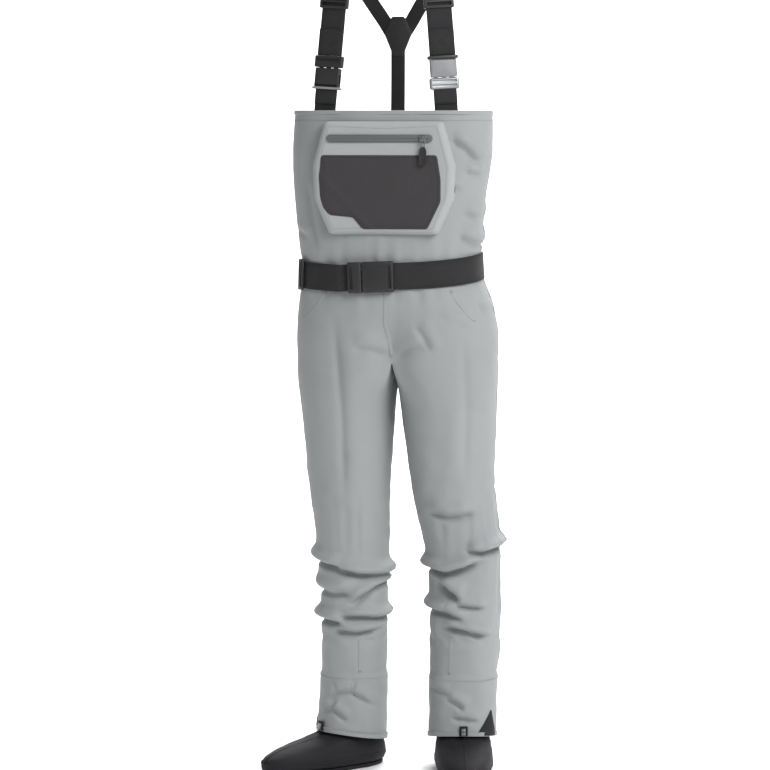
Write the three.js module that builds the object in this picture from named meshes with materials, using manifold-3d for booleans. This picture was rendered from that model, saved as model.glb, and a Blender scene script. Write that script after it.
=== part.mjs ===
// Stocking-foot chest waders, worn shape: bib, hips, legs, neoprene feet, belt and suspenders.
// Millimetres, +Z up, the front faces -Y, +X is the wearer's left. Heights are measured from the sole;
// the whole group is lowered at the end, so the origin lies between the straps at the shoulders.
import * as THREE from 'three';
import { mergeVertices } from 'three/addons/utils/BufferGeometryUtils.js';
import Module from 'manifold-3d';

const wasm = await Module();
wasm.setup();

// ---- driving dimensions ----
const BELT_HEIGHT = 952;
const BIB_RISE = 310;
const SHOULDER_RISE = 288;
const BIB_TOP = BELT_HEIGHT + BIB_RISE;
const SHOULDER_HEIGHT = BIB_TOP + SHOULDER_RISE;
const BIB_BACK_DIP = 50;
const CROTCH_HEIGHT = 790;
const KNEE_HEIGHT = 470;
const CHEST_HALF_WIDTH = 188;
const CHEST_HALF_DEPTH = 109;
const WAIST_HALF_WIDTH = 171;
const WAIST_HALF_DEPTH = 114;
const HIP_HALF_WIDTH = 191;
const HIP_HALF_DEPTH = 127;
const HIP_SWAY = 14;
const FABRIC = 3;
const NEOPRENE = 4;
const SEAM_GAP = 0.4;
const CLEARANCE = 0.6;
const KNEE_ZONE = 75;
const THIGH_TOP = 680;
const SHIN_BOTTOM = 128;
const GUARD_TOP = 180;
const GUARD_HEM = 60;
const HEM_ARCH = 12;
const HEM_TAPE = 9;
const FOOT_LENGTH = 274;
const FOOT_WIDTH = 102;
const SOLE = 7;
const STRAP_WIDTH = 49;
const STRAP_THICKNESS = 1.8;
const BACK_STRAP_WIDTH = 27;
const BUCKLE_WIDTH = STRAP_WIDTH + 8;
const BUCKLE_THICKNESS = 13;
const SOCKET_LENGTH = 40;
const PLUG_BASE = 22;
const PRONG_LENGTH = 24;
const PRONG_WIDTH = 8;
const PRONG_THICKNESS = 5;
const BELT_WIDTH = 50.8;
const BELT_THICKNESS = 2;
const BELT_BUCKLE_LEFT = -66;
const BELT_PLUG_BASE = 26;
const BELT_SOCKET_LENGTH = 60;
const ZIP_LEFT = -106;
const ZIP_RIGHT = 94;
const ZIP_HEIGHT = BIB_TOP - 52;
const ZIP_TAPE = 15;
const ZIP_SLIDER_X = 76;
const PULL_LENGTH = 48;
const POCKET_RISE = 12.2;
const POCKET_HALF_WIDTH = 135;
const PATCH_THICKNESS = 1.6;
const YOKE_HEIGHT = SHOULDER_HEIGHT - 146;

// ---- materials ----
const finish = (color, roughness, metalness = 0) => ({ color, roughness, metalness });
const GREY_CLOTH = finish(0xacaeae, 0.85);
const POCKET_CLOTH = finish(0xb6b8b8, 0.8);
const PATCH_CLOTH = finish(0x3c383c, 0.85);
const BLACK_WEB = finish(0x262628, 0.8);
const BLACK_PLASTIC = finish(0x1c1c1e, 0.45);
const GREY_PLASTIC = finish(0x8d8f92, 0.45);
const NEOPRENE_BLACK = finish(0x211f24, 0.9);
const YOKE_LEATHER = finish(0x2b2724, 0.6);
const ZIP_GREY = finish(0x707274, 0.55);
const METAL = finish(0xb4b6ba, 0.3, 1);

const waders = new THREE.Group();
waders.position.z = -SHOULDER_HEIGHT;

function add(name, geometry, look, parent = waders) {
  const mesh = new THREE.Mesh(geometry, new THREE.MeshStandardMaterial(look));
  mesh.name = name;
  parent.add(mesh);
  return mesh;
}

// ---- solids: grids, boxes and booleans ----
// A sheet with thickness: outer and inner are rows of points that face each other. A wrapped sheet is a tube.
function sheet(outer, inner, wrap = false) {
  const rows = outer.length;
  const cols = outer[0].length;
  const positions = [...outer.flat(), ...inner.flat()].flatMap((p) => [p.x, p.y, p.z]);
  const at = (side, j, i) => side * rows * cols + j * cols + (i % cols);
  const faces = [];
  const quad = (a, b, c, d) => faces.push(a, b, c, a, c, d);
  const last = wrap ? cols : cols - 1;
  for (let j = 0; j < rows - 1; j += 1) {
    for (let i = 0; i < last; i += 1) {
      quad(at(0, j, i), at(0, j, i + 1), at(0, j + 1, i + 1), at(0, j + 1, i));
      quad(at(1, j, i), at(1, j + 1, i), at(1, j + 1, i + 1), at(1, j, i + 1));
    }
  }
  for (let i = 0; i < last; i += 1) {
    quad(at(0, 0, i + 1), at(0, 0, i), at(1, 0, i), at(1, 0, i + 1));
    quad(at(0, rows - 1, i), at(0, rows - 1, i + 1), at(1, rows - 1, i + 1), at(1, rows - 1, i));
  }
  if (!wrap) {
    for (let j = 0; j < rows - 1; j += 1) {
      quad(at(0, j, 0), at(0, j + 1, 0), at(1, j + 1, 0), at(1, j, 0));
      quad(at(0, j + 1, cols - 1), at(0, j, cols - 1), at(1, j, cols - 1), at(1, j + 1, cols - 1));
    }
  }
  return outward(positions, faces);
}

// A closed solid through rings of points, capped flat at both ends.
function loft(rings) {
  const cols = rings[0].length;
  const positions = rings.flat().flatMap((p) => [p.x, p.y, p.z]);
  const faces = [];
  for (let j = 0; j < rings.length - 1; j += 1) {
    for (let i = 0; i < cols; i += 1) {
      const k = (i + 1) % cols;
      const low = j * cols;
      const high = low + cols;
      faces.push(low + i, low + k, high + k, low + i, high + k, high + i);
    }
  }
  // Triangulated caps always turn one way, so the rings' own turn decides which cap is flipped.
  const flat = (ring) => ring.map((p) => new THREE.Vector2(p.x, p.y));
  const clockwise = THREE.ShapeUtils.isClockWise(flat(rings[0]));
  const cap = (ring, base, flip) => {
    THREE.ShapeUtils.triangulateShape(flat(ring), []).forEach(([a, b, c]) => {
      faces.push(base + a, base + (flip ? c : b), base + (flip ? b : c));
    });
  };
  cap(rings[0], 0, !clockwise);
  cap(rings[rings.length - 1], (rings.length - 1) * cols, clockwise);
  return outward(positions, faces);
}

function outward(positions, faces) {
  const geometry = new THREE.BufferGeometry();
  geometry.setAttribute('position', new THREE.Float32BufferAttribute(positions, 3));
  geometry.setIndex(faces);
  if (signedVolume(geometry) < 0) {
    for (let i = 0; i < faces.length; i += 3) {
      [faces[i + 1], faces[i + 2]] = [faces[i + 2], faces[i + 1]];
    }
    geometry.setIndex(faces);
  }
  return geometry;
}

function signedVolume(geometry) {
  const p = geometry.attributes.position;
  const index = geometry.index.array;
  const [a, b, c] = [new THREE.Vector3(), new THREE.Vector3(), new THREE.Vector3()];
  let total = 0;
  for (let i = 0; i < index.length; i += 3) {
    a.fromBufferAttribute(p, index[i]);
    b.fromBufferAttribute(p, index[i + 1]);
    c.fromBufferAttribute(p, index[i + 2]);
    total += a.dot(b.cross(c));
  }
  return total / 6;
}

function box(x0, x1, y0, y1, z0, z1) {
  const geometry = new THREE.BoxGeometry(x1 - x0, y1 - y0, z1 - z0);
  return geometry.translate((x0 + x1) / 2, (y0 + y1) / 2, (z0 + z1) / 2);
}

// A plate with an outline in X and Z, from y0 (front) to y1 (back).
function plate(points, y0, y1, holes = []) {
  const path = (list, Kind) => new Kind(list.map(([x, z]) => new THREE.Vector2(x, z)));
  const shape = path(points, THREE.Shape);
  shape.holes = holes.map((hole) => path(hole, THREE.Path));
  const geometry = new THREE.ExtrudeGeometry(shape, { depth: y1 - y0, bevelEnabled: false });
  return geometry.rotateX(Math.PI / 2).translate(0, y1, 0);
}

function solid(source) {
  const bare = source.clone();
  bare.deleteAttribute('normal');
  bare.deleteAttribute('uv');
  const merged = mergeVertices(bare, 1e-4);
  return new wasm.Manifold(new wasm.Mesh({
    numProp: 3,
    vertProperties: new Float32Array(merged.attributes.position.array),
    triVerts: new Uint32Array(merged.index.array),
  }));
}

function boolean(kind, first, others) {
  const result = others.reduce((made, other) => made[kind](solid(other)), solid(first)).getMesh();
  const geometry = new THREE.BufferGeometry();
  geometry.setAttribute('position', new THREE.BufferAttribute(new Float32Array(result.vertProperties), 3));
  geometry.setIndex(new THREE.BufferAttribute(new Uint32Array(result.triVerts), 1));
  return geometry;
}
const join = (first, ...others) => boolean('add', first, others);
const cut = (first, ...others) => boolean('subtract', first, others);

// ---- body sections: centre and half sizes at a height, straight lines between the rows ----
const TORSO = [
  { h: CROTCH_HEIGHT, cx: HIP_SWAY, cy: 0, a: HIP_HALF_WIDTH, b: HIP_HALF_DEPTH },
  { h: 850, cx: HIP_SWAY - 1, cy: 0, a: HIP_HALF_WIDTH, b: HIP_HALF_DEPTH },
  { h: 905, cx: 8, cy: 0, a: WAIST_HALF_WIDTH + 11, b: WAIST_HALF_DEPTH + 5 },
  { h: BELT_HEIGHT, cx: 3, cy: 0, a: WAIST_HALF_WIDTH, b: WAIST_HALF_DEPTH },
  { h: BELT_HEIGHT + BIB_RISE * 0.19, cx: 0, cy: 0, a: WAIST_HALF_WIDTH + 3, b: WAIST_HALF_DEPTH - 2 },
  { h: BELT_HEIGHT + BIB_RISE * 0.46, cx: -1, cy: 0, a: CHEST_HALF_WIDTH - 7, b: CHEST_HALF_DEPTH + 2 },
  { h: BELT_HEIGHT + BIB_RISE * 0.735, cx: 2, cy: 0, a: CHEST_HALF_WIDTH + 1, b: CHEST_HALF_DEPTH + 1 },
  { h: BIB_TOP, cx: 5, cy: 0, a: CHEST_HALF_WIDTH, b: CHEST_HALF_DEPTH - 3 },
];
const THIGH_OFFSET = HIP_HALF_WIDTH / 2 + 3;
const THIGH_HALF_WIDTH = HIP_HALF_WIDTH / 2 - 3.5;
const LEFT_LEG = [
  { h: 60, cx: 138, cy: 5, a: 62, b: 66 },
  { h: 160, cx: 139, cy: 8, a: 62, b: 66 },
  { h: 240, cx: 142, cy: 8, a: 67, b: 70 },
  { h: KNEE_HEIGHT - KNEE_ZONE, cx: 144, cy: -2, a: 71, b: 76 },
  { h: KNEE_HEIGHT, cx: 136, cy: -8, a: 76, b: 80 },
  { h: KNEE_HEIGHT + KNEE_ZONE, cx: 121, cy: -4, a: 78, b: 88 },
  { h: THIGH_TOP, cx: 112, cy: 0, a: 90, b: 107 },
  { h: CROTCH_HEIGHT, cx: HIP_SWAY + THIGH_OFFSET, cy: 0, a: THIGH_HALF_WIDTH, b: HIP_HALF_DEPTH - 2 },
];
const RIGHT_LEG = [
  { h: 60, cx: -77, cy: 5, a: 64, b: 68 },
  { h: 160, cx: -73, cy: 8, a: 62, b: 66 },
  { h: 240, cx: -72, cy: 8, a: 63, b: 70 },
  { h: KNEE_HEIGHT - KNEE_ZONE, cx: -71, cy: -2, a: 69, b: 76 },
  { h: KNEE_HEIGHT, cx: -74, cy: -8, a: 71, b: 80 },
  { h: KNEE_HEIGHT + KNEE_ZONE, cx: -79, cy: -4, a: 77, b: 88 },
  { h: THIGH_TOP, cx: -81, cy: 0, a: 89, b: 107 },
  { h: CROTCH_HEIGHT, cx: HIP_SWAY - THIGH_OFFSET, cy: 0, a: THIGH_HALF_WIDTH, b: HIP_HALF_DEPTH - 2 },
];
const TORSO_SQUARENESS = 2.8;
const LEG_SQUARENESS = 2.3;

function section(table, h) {
  let k = 0;
  while (k < table.length - 2 && h > table[k + 1].h) k += 1;
  const [low, high] = [table[k], table[k + 1]];
  const t = THREE.MathUtils.clamp((h - low.h) / (high.h - low.h), -1, 1);
  const mix = (key) => low[key] + (high[key] - low[key]) * t;
  return { cx: mix('cx'), cy: mix('cy'), a: mix('a'), b: mix('b') };
}

// A point of a rounded-square section: angle 0 is +X, 90 degrees is the back, 270 the front.
function around(table, squareness, h, angle, offset) {
  const s = section(table, h);
  const bend = (v) => Math.sign(v) * Math.abs(v) ** (2 / squareness);
  return new THREE.Vector3(
    s.cx + (s.a + offset) * bend(Math.cos(angle)),
    s.cy + (s.b + offset) * bend(Math.sin(angle)),
    h,
  );
}
const torso = (h, angle, offset = 0) => around(TORSO, TORSO_SQUARENESS, h, angle, offset);

function angles(from, to, steps) {
  return Array.from({ length: steps + 1 }, (_, i) => from + ((to - from) * i) / steps);
}

// A fabric panel between two angles, or a tube when they make a full turn. Where an edge isn't level,
// level(h, angle) moves each row's height.
function panel(table, squareness, heights, from, to, steps, { offset = 0, level = (h) => h } = {}) {
  const tube = to - from > 2 * Math.PI - SEAM_ANGLE;
  const turns = angles(from, to, steps).slice(0, tube ? steps : steps + 1);
  const row = (h, out) => turns.map((angle) => around(table, squareness, level(h, angle), angle, out));
  return sheet(heights.map((h) => row(h, offset)), heights.map((h) => row(h, offset - FABRIC)), tube);
}

const SEAM_ANGLE = SEAM_GAP / CHEST_HALF_DEPTH;
const FRONT = [Math.PI + SEAM_ANGLE, 2 * Math.PI - SEAM_ANGLE];
const BACK = [SEAM_ANGLE, Math.PI - SEAM_ANGLE];

// ---- bib and hips ----
// The heights of a table's rows between two heights, with both ends.
function knots(table, from, to) {
  const between = table.map((s) => s.h).filter((h) => h > from + 1 && h < to - 1);
  return [from, ...between, to];
}
const bibHeights = knots(TORSO, BELT_HEIGHT + SEAM_GAP, BIB_TOP);
const hipHeights = knots(TORSO, CROTCH_HEIGHT, BELT_HEIGHT - SEAM_GAP);
const TORSO_STEPS = 16;
add('bib_front', panel(TORSO, TORSO_SQUARENESS, bibHeights, ...FRONT, TORSO_STEPS), GREY_CLOTH);
add('bib_back', panel(TORSO, TORSO_SQUARENESS, bibHeights, ...BACK, TORSO_STEPS, {
  level: (h, angle) => h - BIB_BACK_DIP * Math.sin(angle) ** 2 * ((h - BELT_HEIGHT) / (BIB_TOP - BELT_HEIGHT)),
}), GREY_CLOTH);
add('hip_front', panel(TORSO, TORSO_SQUARENESS, hipHeights, ...FRONT, TORSO_STEPS), GREY_CLOTH);
add('hip_back', panel(TORSO, TORSO_SQUARENESS, hipHeights, ...BACK, TORSO_STEPS), GREY_CLOTH);
const GUSSET_HALF = 2.9;
add('crotch_gusset', box(
  HIP_SWAY - GUSSET_HALF, HIP_SWAY + GUSSET_HALF,
  -HIP_HALF_DEPTH + 2 * FABRIC, HIP_HALF_DEPTH - 2 * FABRIC,
  CROTCH_HEIGHT - 12, CROTCH_HEIGHT - SEAM_GAP,
), GREY_CLOTH);

// ---- legs ----
const LEG_STEPS = 20;
const HALF_STEPS = 10;
function leg(side, table, turn) {
  const shell = (low, high, ends, extra) => panel(
    table, LEG_SQUARENESS, knots(table, low + SEAM_GAP / 2, high - SEAM_GAP / 2), ...ends, HALF_STEPS, extra,
  );
  const tube = (low, high, extra) => panel(
    table, LEG_SQUARENESS, knots(table, low + SEAM_GAP / 2, high - SEAM_GAP / 2),
    0, 2 * Math.PI, LEG_STEPS, extra,
  );
  const kneeTop = KNEE_HEIGHT + KNEE_ZONE;
  const kneeBottom = KNEE_HEIGHT - KNEE_ZONE;
  const guard = {
    offset: FABRIC + CLEARANCE,
    level: (h, angle) => {
      const share = (GUARD_TOP - h) / (GUARD_TOP - GUARD_HEM);
      return h + HEM_ARCH * Math.cos(angle + Math.PI / 2 - turn) * share;
    },
  };
  const hem = GUARD_HEM + HEM_TAPE;
  add(`${side}_hip_section`, tube(THIGH_TOP, CROTCH_HEIGHT - SEAM_GAP), GREY_CLOTH);
  add(`${side}_thigh_front`, shell(kneeTop, THIGH_TOP, FRONT), GREY_CLOTH);
  add(`${side}_thigh_back`, shell(kneeTop, THIGH_TOP, BACK), GREY_CLOTH);
  add(`${side}_knee_section`, tube(kneeBottom, kneeTop), GREY_CLOTH);
  add(`${side}_shin_front`, shell(SHIN_BOTTOM, kneeBottom, FRONT), GREY_CLOTH);
  add(`${side}_shin_back`, shell(SHIN_BOTTOM, kneeBottom, BACK), GREY_CLOTH);
  add(`${side}_gravel_guard`, tube(hem, GUARD_TOP, guard), GREY_CLOTH);
  add(`${side}_guard_hem`, tube(GUARD_HEM, hem, guard), GREY_CLOTH);
  hook(side, table, turn);
}

// The lace hook over the instep: a short sewn tab and a bent metal hook, turned with the foot.
const HOOK_TAB = 12;
const TAB_THICKNESS = 1.6;
function hook(side, table, turn) {
  const low = GUARD_HEM + HEM_ARCH;
  const s = section(table, low);
  const frame = new THREE.Group();
  frame.position.set(s.cx, s.cy, 0);
  frame.rotation.z = turn;
  waders.add(frame);
  const wallPoint = around(table, LEG_SQUARENESS, low, turn - Math.PI / 2, FABRIC + 3 * CLEARANCE);
  const face = -Math.hypot(wallPoint.x - s.cx, wallPoint.y - s.cy);
  add(`${side}_hook_tab`, box(
    -HOOK_TAB / 2, HOOK_TAB / 2, face - TAB_THICKNESS, face, low, low + 2 * HEM_TAPE,
  ), BLACK_WEB, frame);
  const profile = [[0, 0], [0, 14], [-2, 14], [-2, 2], [-5, 2], [-5, 8], [-7, 8], [-7, 0]];
  const shape = new THREE.Shape(profile.map(([y, z]) => new THREE.Vector2(y, z)));
  const wire = new THREE.ExtrudeGeometry(shape, { depth: 8, bevelEnabled: false });
  wire.rotateX(Math.PI / 2).rotateZ(Math.PI / 2).translate(-4, face - TAB_THICKNESS - CLEARANCE, low + 1);
  add(`${side}_lace_hook`, wire, METAL, frame);
}

// ---- neoprene feet: outline rows from the sole to the ankle, in the foot's own frame, toe towards -Y ----
const HEEL_BACK = 62;
const FOOT_ROWS = [
  { h: SOLE + SEAM_GAP, back: 1, front: 1, width: 0.9 },
  { h: 22, back: 1.06, front: 1, width: 1 },
  { h: 42, back: 1.02, front: 0.9, width: 0.98 },
  { h: 62, back: 0.92, front: 0.42, width: 0.92 },
  { h: 78, back: 0.82, front: 0.2, width: 0.86 },
  { h: 100, back: 0.8, front: 0.2, width: 0.84 },
  { h: SHIN_BOTTOM - SEAM_GAP, back: 0.8, front: 0.2, width: 0.84 },
];
function footPoint(row, angle, inset) {
  const reach = FOOT_LENGTH - HEEL_BACK;
  const back = HEEL_BACK * row.back - inset;
  const front = reach * row.front - inset;
  const half = (FOOT_WIDTH / 2) * row.width - inset;
  const bend = (v, n) => Math.sign(v) * Math.abs(v) ** (2 / n);
  const y = bend(Math.sin(angle), 2.4);
  const taper = y < 0 ? 1 + 0.06 * Math.sin(Math.PI * -y) : 1 - 0.18 * y;
  return new THREE.Vector3(half * taper * bend(Math.cos(angle), 2.4), y > 0 ? back * y : front * y, row.h);
}

function foot(side, x, y, turn) {
  const frame = new THREE.Group();
  frame.position.set(x, y, 0);
  frame.rotation.z = turn;
  waders.add(frame);
  const half = (from, to) => {
    const row = (r, inset) => angles(from, to, HALF_STEPS).map((angle) => footPoint(r, angle, inset));
    return sheet(FOOT_ROWS.map((r) => row(r, 0)), FOOT_ROWS.map((r) => row(r, NEOPRENE)));
  };
  const quarter = Math.PI / 2;
  const split = SEAM_GAP / FOOT_WIDTH * 2;
  const [near, far] = side === 'left' ? ['outer', 'inner'] : ['inner', 'outer'];
  add(`${side}_foot_${near}_half`, half(-quarter + split, quarter - split), NEOPRENE_BLACK, frame);
  add(`${side}_foot_${far}_half`, half(quarter + split, 3 * quarter - split), NEOPRENE_BLACK, frame);
  const outline = (h) => angles(0, 2 * Math.PI, 2 * HALF_STEPS).slice(0, 2 * HALF_STEPS)
    .map((angle) => footPoint({ ...FOOT_ROWS[0], h }, angle, 0));
  add(`${side}_sole`, loft([outline(0), outline(SOLE)]), NEOPRENE_BLACK, frame);
}

const RIGHT_TOE_OUT = THREE.MathUtils.degToRad(-46);
const LEFT_TOE_OUT = THREE.MathUtils.degToRad(8);
leg('left', LEFT_LEG, LEFT_TOE_OUT);
leg('right', RIGHT_LEG, RIGHT_TOE_OUT);
foot('left', 139, 8, LEFT_TOE_OUT);
foot('right', -74, 7, RIGHT_TOE_OUT);

// ---- chest pocket: a flat-fronted raised panel on the bib ----
const POCKET_HEIGHT = 213;
const pocketTop = BIB_TOP - 19;
const pocketLow = pocketTop - POCKET_HEIGHT;
const pocketFront = -(Math.max(CHEST_HALF_DEPTH + 2, section(TORSO, pocketLow).b) + POCKET_RISE);
const pocketOutline = (inset) => [
  [-POCKET_HALF_WIDTH + 23 + inset, pocketTop - inset], [POCKET_HALF_WIDTH - 23 - inset, pocketTop - inset],
  [POCKET_HALF_WIDTH - inset, pocketTop - 83], [POCKET_HALF_WIDTH - 3 - inset, pocketTop - 145],
  [POCKET_HALF_WIDTH - 32 - inset, pocketLow + inset], [-POCKET_HALF_WIDTH + 32 + inset, pocketLow + inset],
  [-POCKET_HALF_WIDTH + 3 + inset, pocketTop - 145], [-POCKET_HALF_WIDTH + inset, pocketTop - 83],
];
const POCKET_SLOPE = 9;
const pocketRing = (inset, y) => pocketOutline(inset).map(([x, z]) => new THREE.Vector3(x, z, -y));
const pocketBlock = loft([
  pocketRing(0, -60), pocketRing(0, pocketFront + POCKET_RISE * 0.55), pocketRing(POCKET_SLOPE, pocketFront),
]).rotateX(Math.PI / 2);
const bibBlock = loft(knots(TORSO, BELT_HEIGHT, BIB_TOP + 10).map((h) => (
  angles(0, 2 * Math.PI, 2 * TORSO_STEPS).slice(0, 2 * TORSO_STEPS)
    .map((angle) => torso(h, angle, 2 * CLEARANCE))
)));
add('chest_pocket', cut(pocketBlock, bibBlock), POCKET_CLOTH);
const patchFace = pocketFront - SEAM_GAP;
add('pocket_patch', plate([
  [-116, 138], [102, 138], [109, 94], [109, 51], [84, 0], [-38, 0], [-56, 22], [-100, 26], [-112, 39],
  [-118, 59], [-120, 94],
].map(([x, z]) => [x, z + pocketLow + 11]), patchFace - PATCH_THICKNESS, patchFace), PATCH_CLOTH);
const tapeFace = pocketFront - SEAM_GAP;
const TAPE_THICKNESS = 1.6;
add('zip_tape', box(ZIP_LEFT, ZIP_RIGHT, tapeFace - TAPE_THICKNESS, tapeFace,
  ZIP_HEIGHT - ZIP_TAPE / 2, ZIP_HEIGHT + ZIP_TAPE / 2), ZIP_GREY);

// The slider has a bridge, and the pull's ring hangs in it.
const sliderBack = tapeFace - TAPE_THICKNESS - SEAM_GAP;
const SLIDER_DEPTH = 7;
const SLIDER_HALF = 7;
const PIN_CLEAR = 1;
const PULL_THICKNESS = 2.2;
const pinZ = ZIP_HEIGHT - 2;
const pinY = sliderBack - 4.4;
const bridgeHole = box(-SLIDER_HALF - 1, SLIDER_HALF + 1, pinY - 1.9, pinY + 1.9, pinZ - 1.9, pinZ + 1.9);
const sliderBody = join(
  box(-SLIDER_HALF, SLIDER_HALF, sliderBack - 2, sliderBack, ZIP_HEIGHT - 6, ZIP_HEIGHT + 6),
  box(-2, 2, sliderBack - SLIDER_DEPTH - 0.6, sliderBack - 1, ZIP_HEIGHT - 5.6, ZIP_HEIGHT + 4),
);
add('zip_slider', cut(sliderBody, bridgeHole).translate(ZIP_SLIDER_X, 0, 0), METAL);
const cross = new THREE.CylinderGeometry(PIN_CLEAR, PIN_CLEAR, 9, 12).rotateZ(Math.PI / 2)
  .translate(0, pinY, pinZ);
const pullFront = sliderBack - SLIDER_DEPTH - 1.4;
const arm = (sign) => join(
  box(sign > 0 ? 3 : -5, sign > 0 ? 5 : -3, pinY - 1.2, pinY + 1.2, pinZ - 13, pinZ + 1.4),
);
const pull = join(
  cross, arm(1), arm(-1),
  box(-5, 5, pinY - 1.2, pinY + 1.2, pinZ - 16, pinZ - 11),
  box(-7.5, 7.5, pinY - PULL_THICKNESS / 2, pinY + PULL_THICKNESS / 2, pinZ - PULL_LENGTH, pinZ - 15),
);
add('zip_pull', pull.translate(ZIP_SLIDER_X, 0, 0), BLACK_PLASTIC);

// ---- belt ----
// The belt rides on the waist; its height rises a little to the left side and droops at the front.
const BELT_RISE = 6.5;
const BELT_DROOP = 9;
const BELT_TILT = -Math.atan(BELT_RISE / WAIST_HALF_WIDTH);
const BUCKLE_GAP = 2.2;
const beltMiddle = (point) => BELT_HEIGHT + BELT_DROOP + BELT_RISE * (point.x / WAIST_HALF_WIDTH)
  - BELT_DROOP * Math.max(0, -point.y / WAIST_HALF_DEPTH) ** 2;
function beltPoint(angle, drop, offset) {
  const flat = torso(BELT_HEIGHT, angle, 0);
  const p = torso(beltMiddle(flat) + drop, angle, offset);
  return p;
}
const beltFace = -(WAIST_HALF_DEPTH + 3 + BUCKLE_GAP);
const beltRight = BELT_BUCKLE_LEFT + BELT_PLUG_BASE + BELT_SOCKET_LENGTH + 1;
const halfBelt = BELT_WIDTH / 2;
// Straight front ends reach into the buckle; the ribbon goes round the back between them.
function beltRow(drop, offset) {
  const out = BUCKLE_GAP + offset;
  const tie = (x) => new THREE.Vector3(x, beltFace - offset, beltMiddle({ x, y: -WAIST_HALF_DEPTH }) + drop);
  const ring = angles(-Math.PI / 2 + 0.22, (3 * Math.PI) / 2 - 0.62, 34)
    .map((angle) => beltPoint(angle, drop, out));
  const plugEnds = [BELT_BUCKLE_LEFT - 27, BELT_BUCKLE_LEFT + 20];
  return [tie(beltRight - 11), tie(beltRight + 6), ...ring, ...plugEnds.map(tie)];
}
add('belt_webbing', sheet(
  [beltRow(-halfBelt, BELT_THICKNESS), beltRow(halfBelt, BELT_THICKNESS)],
  [beltRow(-halfBelt, 0), beltRow(halfBelt, 0)],
), BLACK_WEB);

const buckle = new THREE.Group();
buckle.position.set(0, 0, beltMiddle({ x: 0, y: -WAIST_HALF_DEPTH }));
buckle.rotation.y = BELT_TILT;
waders.add(buckle);
const BELT_BUCKLE_HALF = BELT_WIDTH / 2 + 3.6;
const slotBack = beltFace + CLEARANCE;
const slotFront = beltFace - BELT_THICKNESS - CLEARANCE;
const buckleBack = slotBack + 1;
const prongBack = slotFront - 1.6;
const prongFront = prongBack - PRONG_THICKNESS;
const buckleFront = prongFront - 2.4;
const slotHalf = halfBelt + CLEARANCE;
const plugEnd = BELT_BUCKLE_LEFT + BELT_PLUG_BASE;
const prong = (z, grow) => box(
  plugEnd - 1, plugEnd + PRONG_LENGTH + grow, prongFront - grow, prongBack + grow,
  z - PRONG_WIDTH / 2 - grow, z + PRONG_WIDTH / 2 + grow,
);
const PRONG_RISE = 17;
add('belt_buckle_plug', cut(
  join(
    box(BELT_BUCKLE_LEFT, plugEnd, buckleFront, buckleBack, -BELT_BUCKLE_HALF, BELT_BUCKLE_HALF),
    prong(PRONG_RISE, 0), prong(-PRONG_RISE, 0), prong(0, 0),
  ),
  box(BELT_BUCKLE_LEFT - 5, plugEnd + 5, slotFront, slotBack, -slotHalf, slotHalf),
), BLACK_PLASTIC, buckle);
const socketLeft = plugEnd + 1;
add('belt_buckle_socket', cut(
  box(socketLeft, socketLeft + BELT_SOCKET_LENGTH, buckleFront, buckleBack,
    -BELT_BUCKLE_HALF, BELT_BUCKLE_HALF),
  prong(PRONG_RISE, 1), prong(-PRONG_RISE, 1), prong(0, 1),
  box(socketLeft + BELT_SOCKET_LENGTH - 15, socketLeft + BELT_SOCKET_LENGTH + 5, slotFront, slotBack,
    -slotHalf, slotHalf),
), BLACK_PLASTIC, buckle);

// Tri-glide keeper and belt loops: short bands that stand just outside the webbing.
function band(name, angle, spread, low, high, look, thickness) {
  const inside = BUCKLE_GAP + BELT_THICKNESS + CLEARANCE;
  const row = (drop, offset) => angles(angle - spread, angle + spread, 4)
    .map((a) => beltPoint(a, drop, offset));
  add(name, sheet(
    [row(low, inside + thickness), row(high, inside + thickness)], [row(low, inside), row(high, inside)],
  ), look);
}
band('belt_tri_glide', Math.PI + 0.42, 0.07, -halfBelt - 4, halfBelt + 4, BLACK_PLASTIC, 3.4);
const LOOP_ANGLES = { left: 0.75, back: Math.PI / 2, right: Math.PI - 0.75 };
Object.entries(LOOP_ANGLES).forEach(([side, angle]) => {
  band(`${side}_belt_loop`, angle, 0.06, -halfBelt - 12, halfBelt + 12, GREY_CLOTH, 2);
});

// ---- suspenders ----
const FRONT_FOOT = new THREE.Vector3(115, -82, BIB_TOP);
const FRONT_HEAD = new THREE.Vector3(97, -66, SHOULDER_HEIGHT - 72);
const STRAP_YAW = THREE.MathUtils.degToRad(16);
const STRAP_TUCK = 46;
const BUCKLE_BOTTOM = 40;
const ADJUSTER_DROP = 12;
const SLIDER_RISE = 13;
const SLIDER_FRONT = 5;
const halfStrap = STRAP_WIDTH / 2;

// A ribbon through points, each with the direction of its width and of its outer face.
function ribbon(stations, width, thickness) {
  const edge = (lift) => [-1, 1].map((sign) => stations.map(({ at, across, out }) => at.clone()
    .addScaledVector(across, (sign * width) / 2).addScaledVector(out, lift)));
  return sheet(edge(thickness), edge(0));
}

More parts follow.
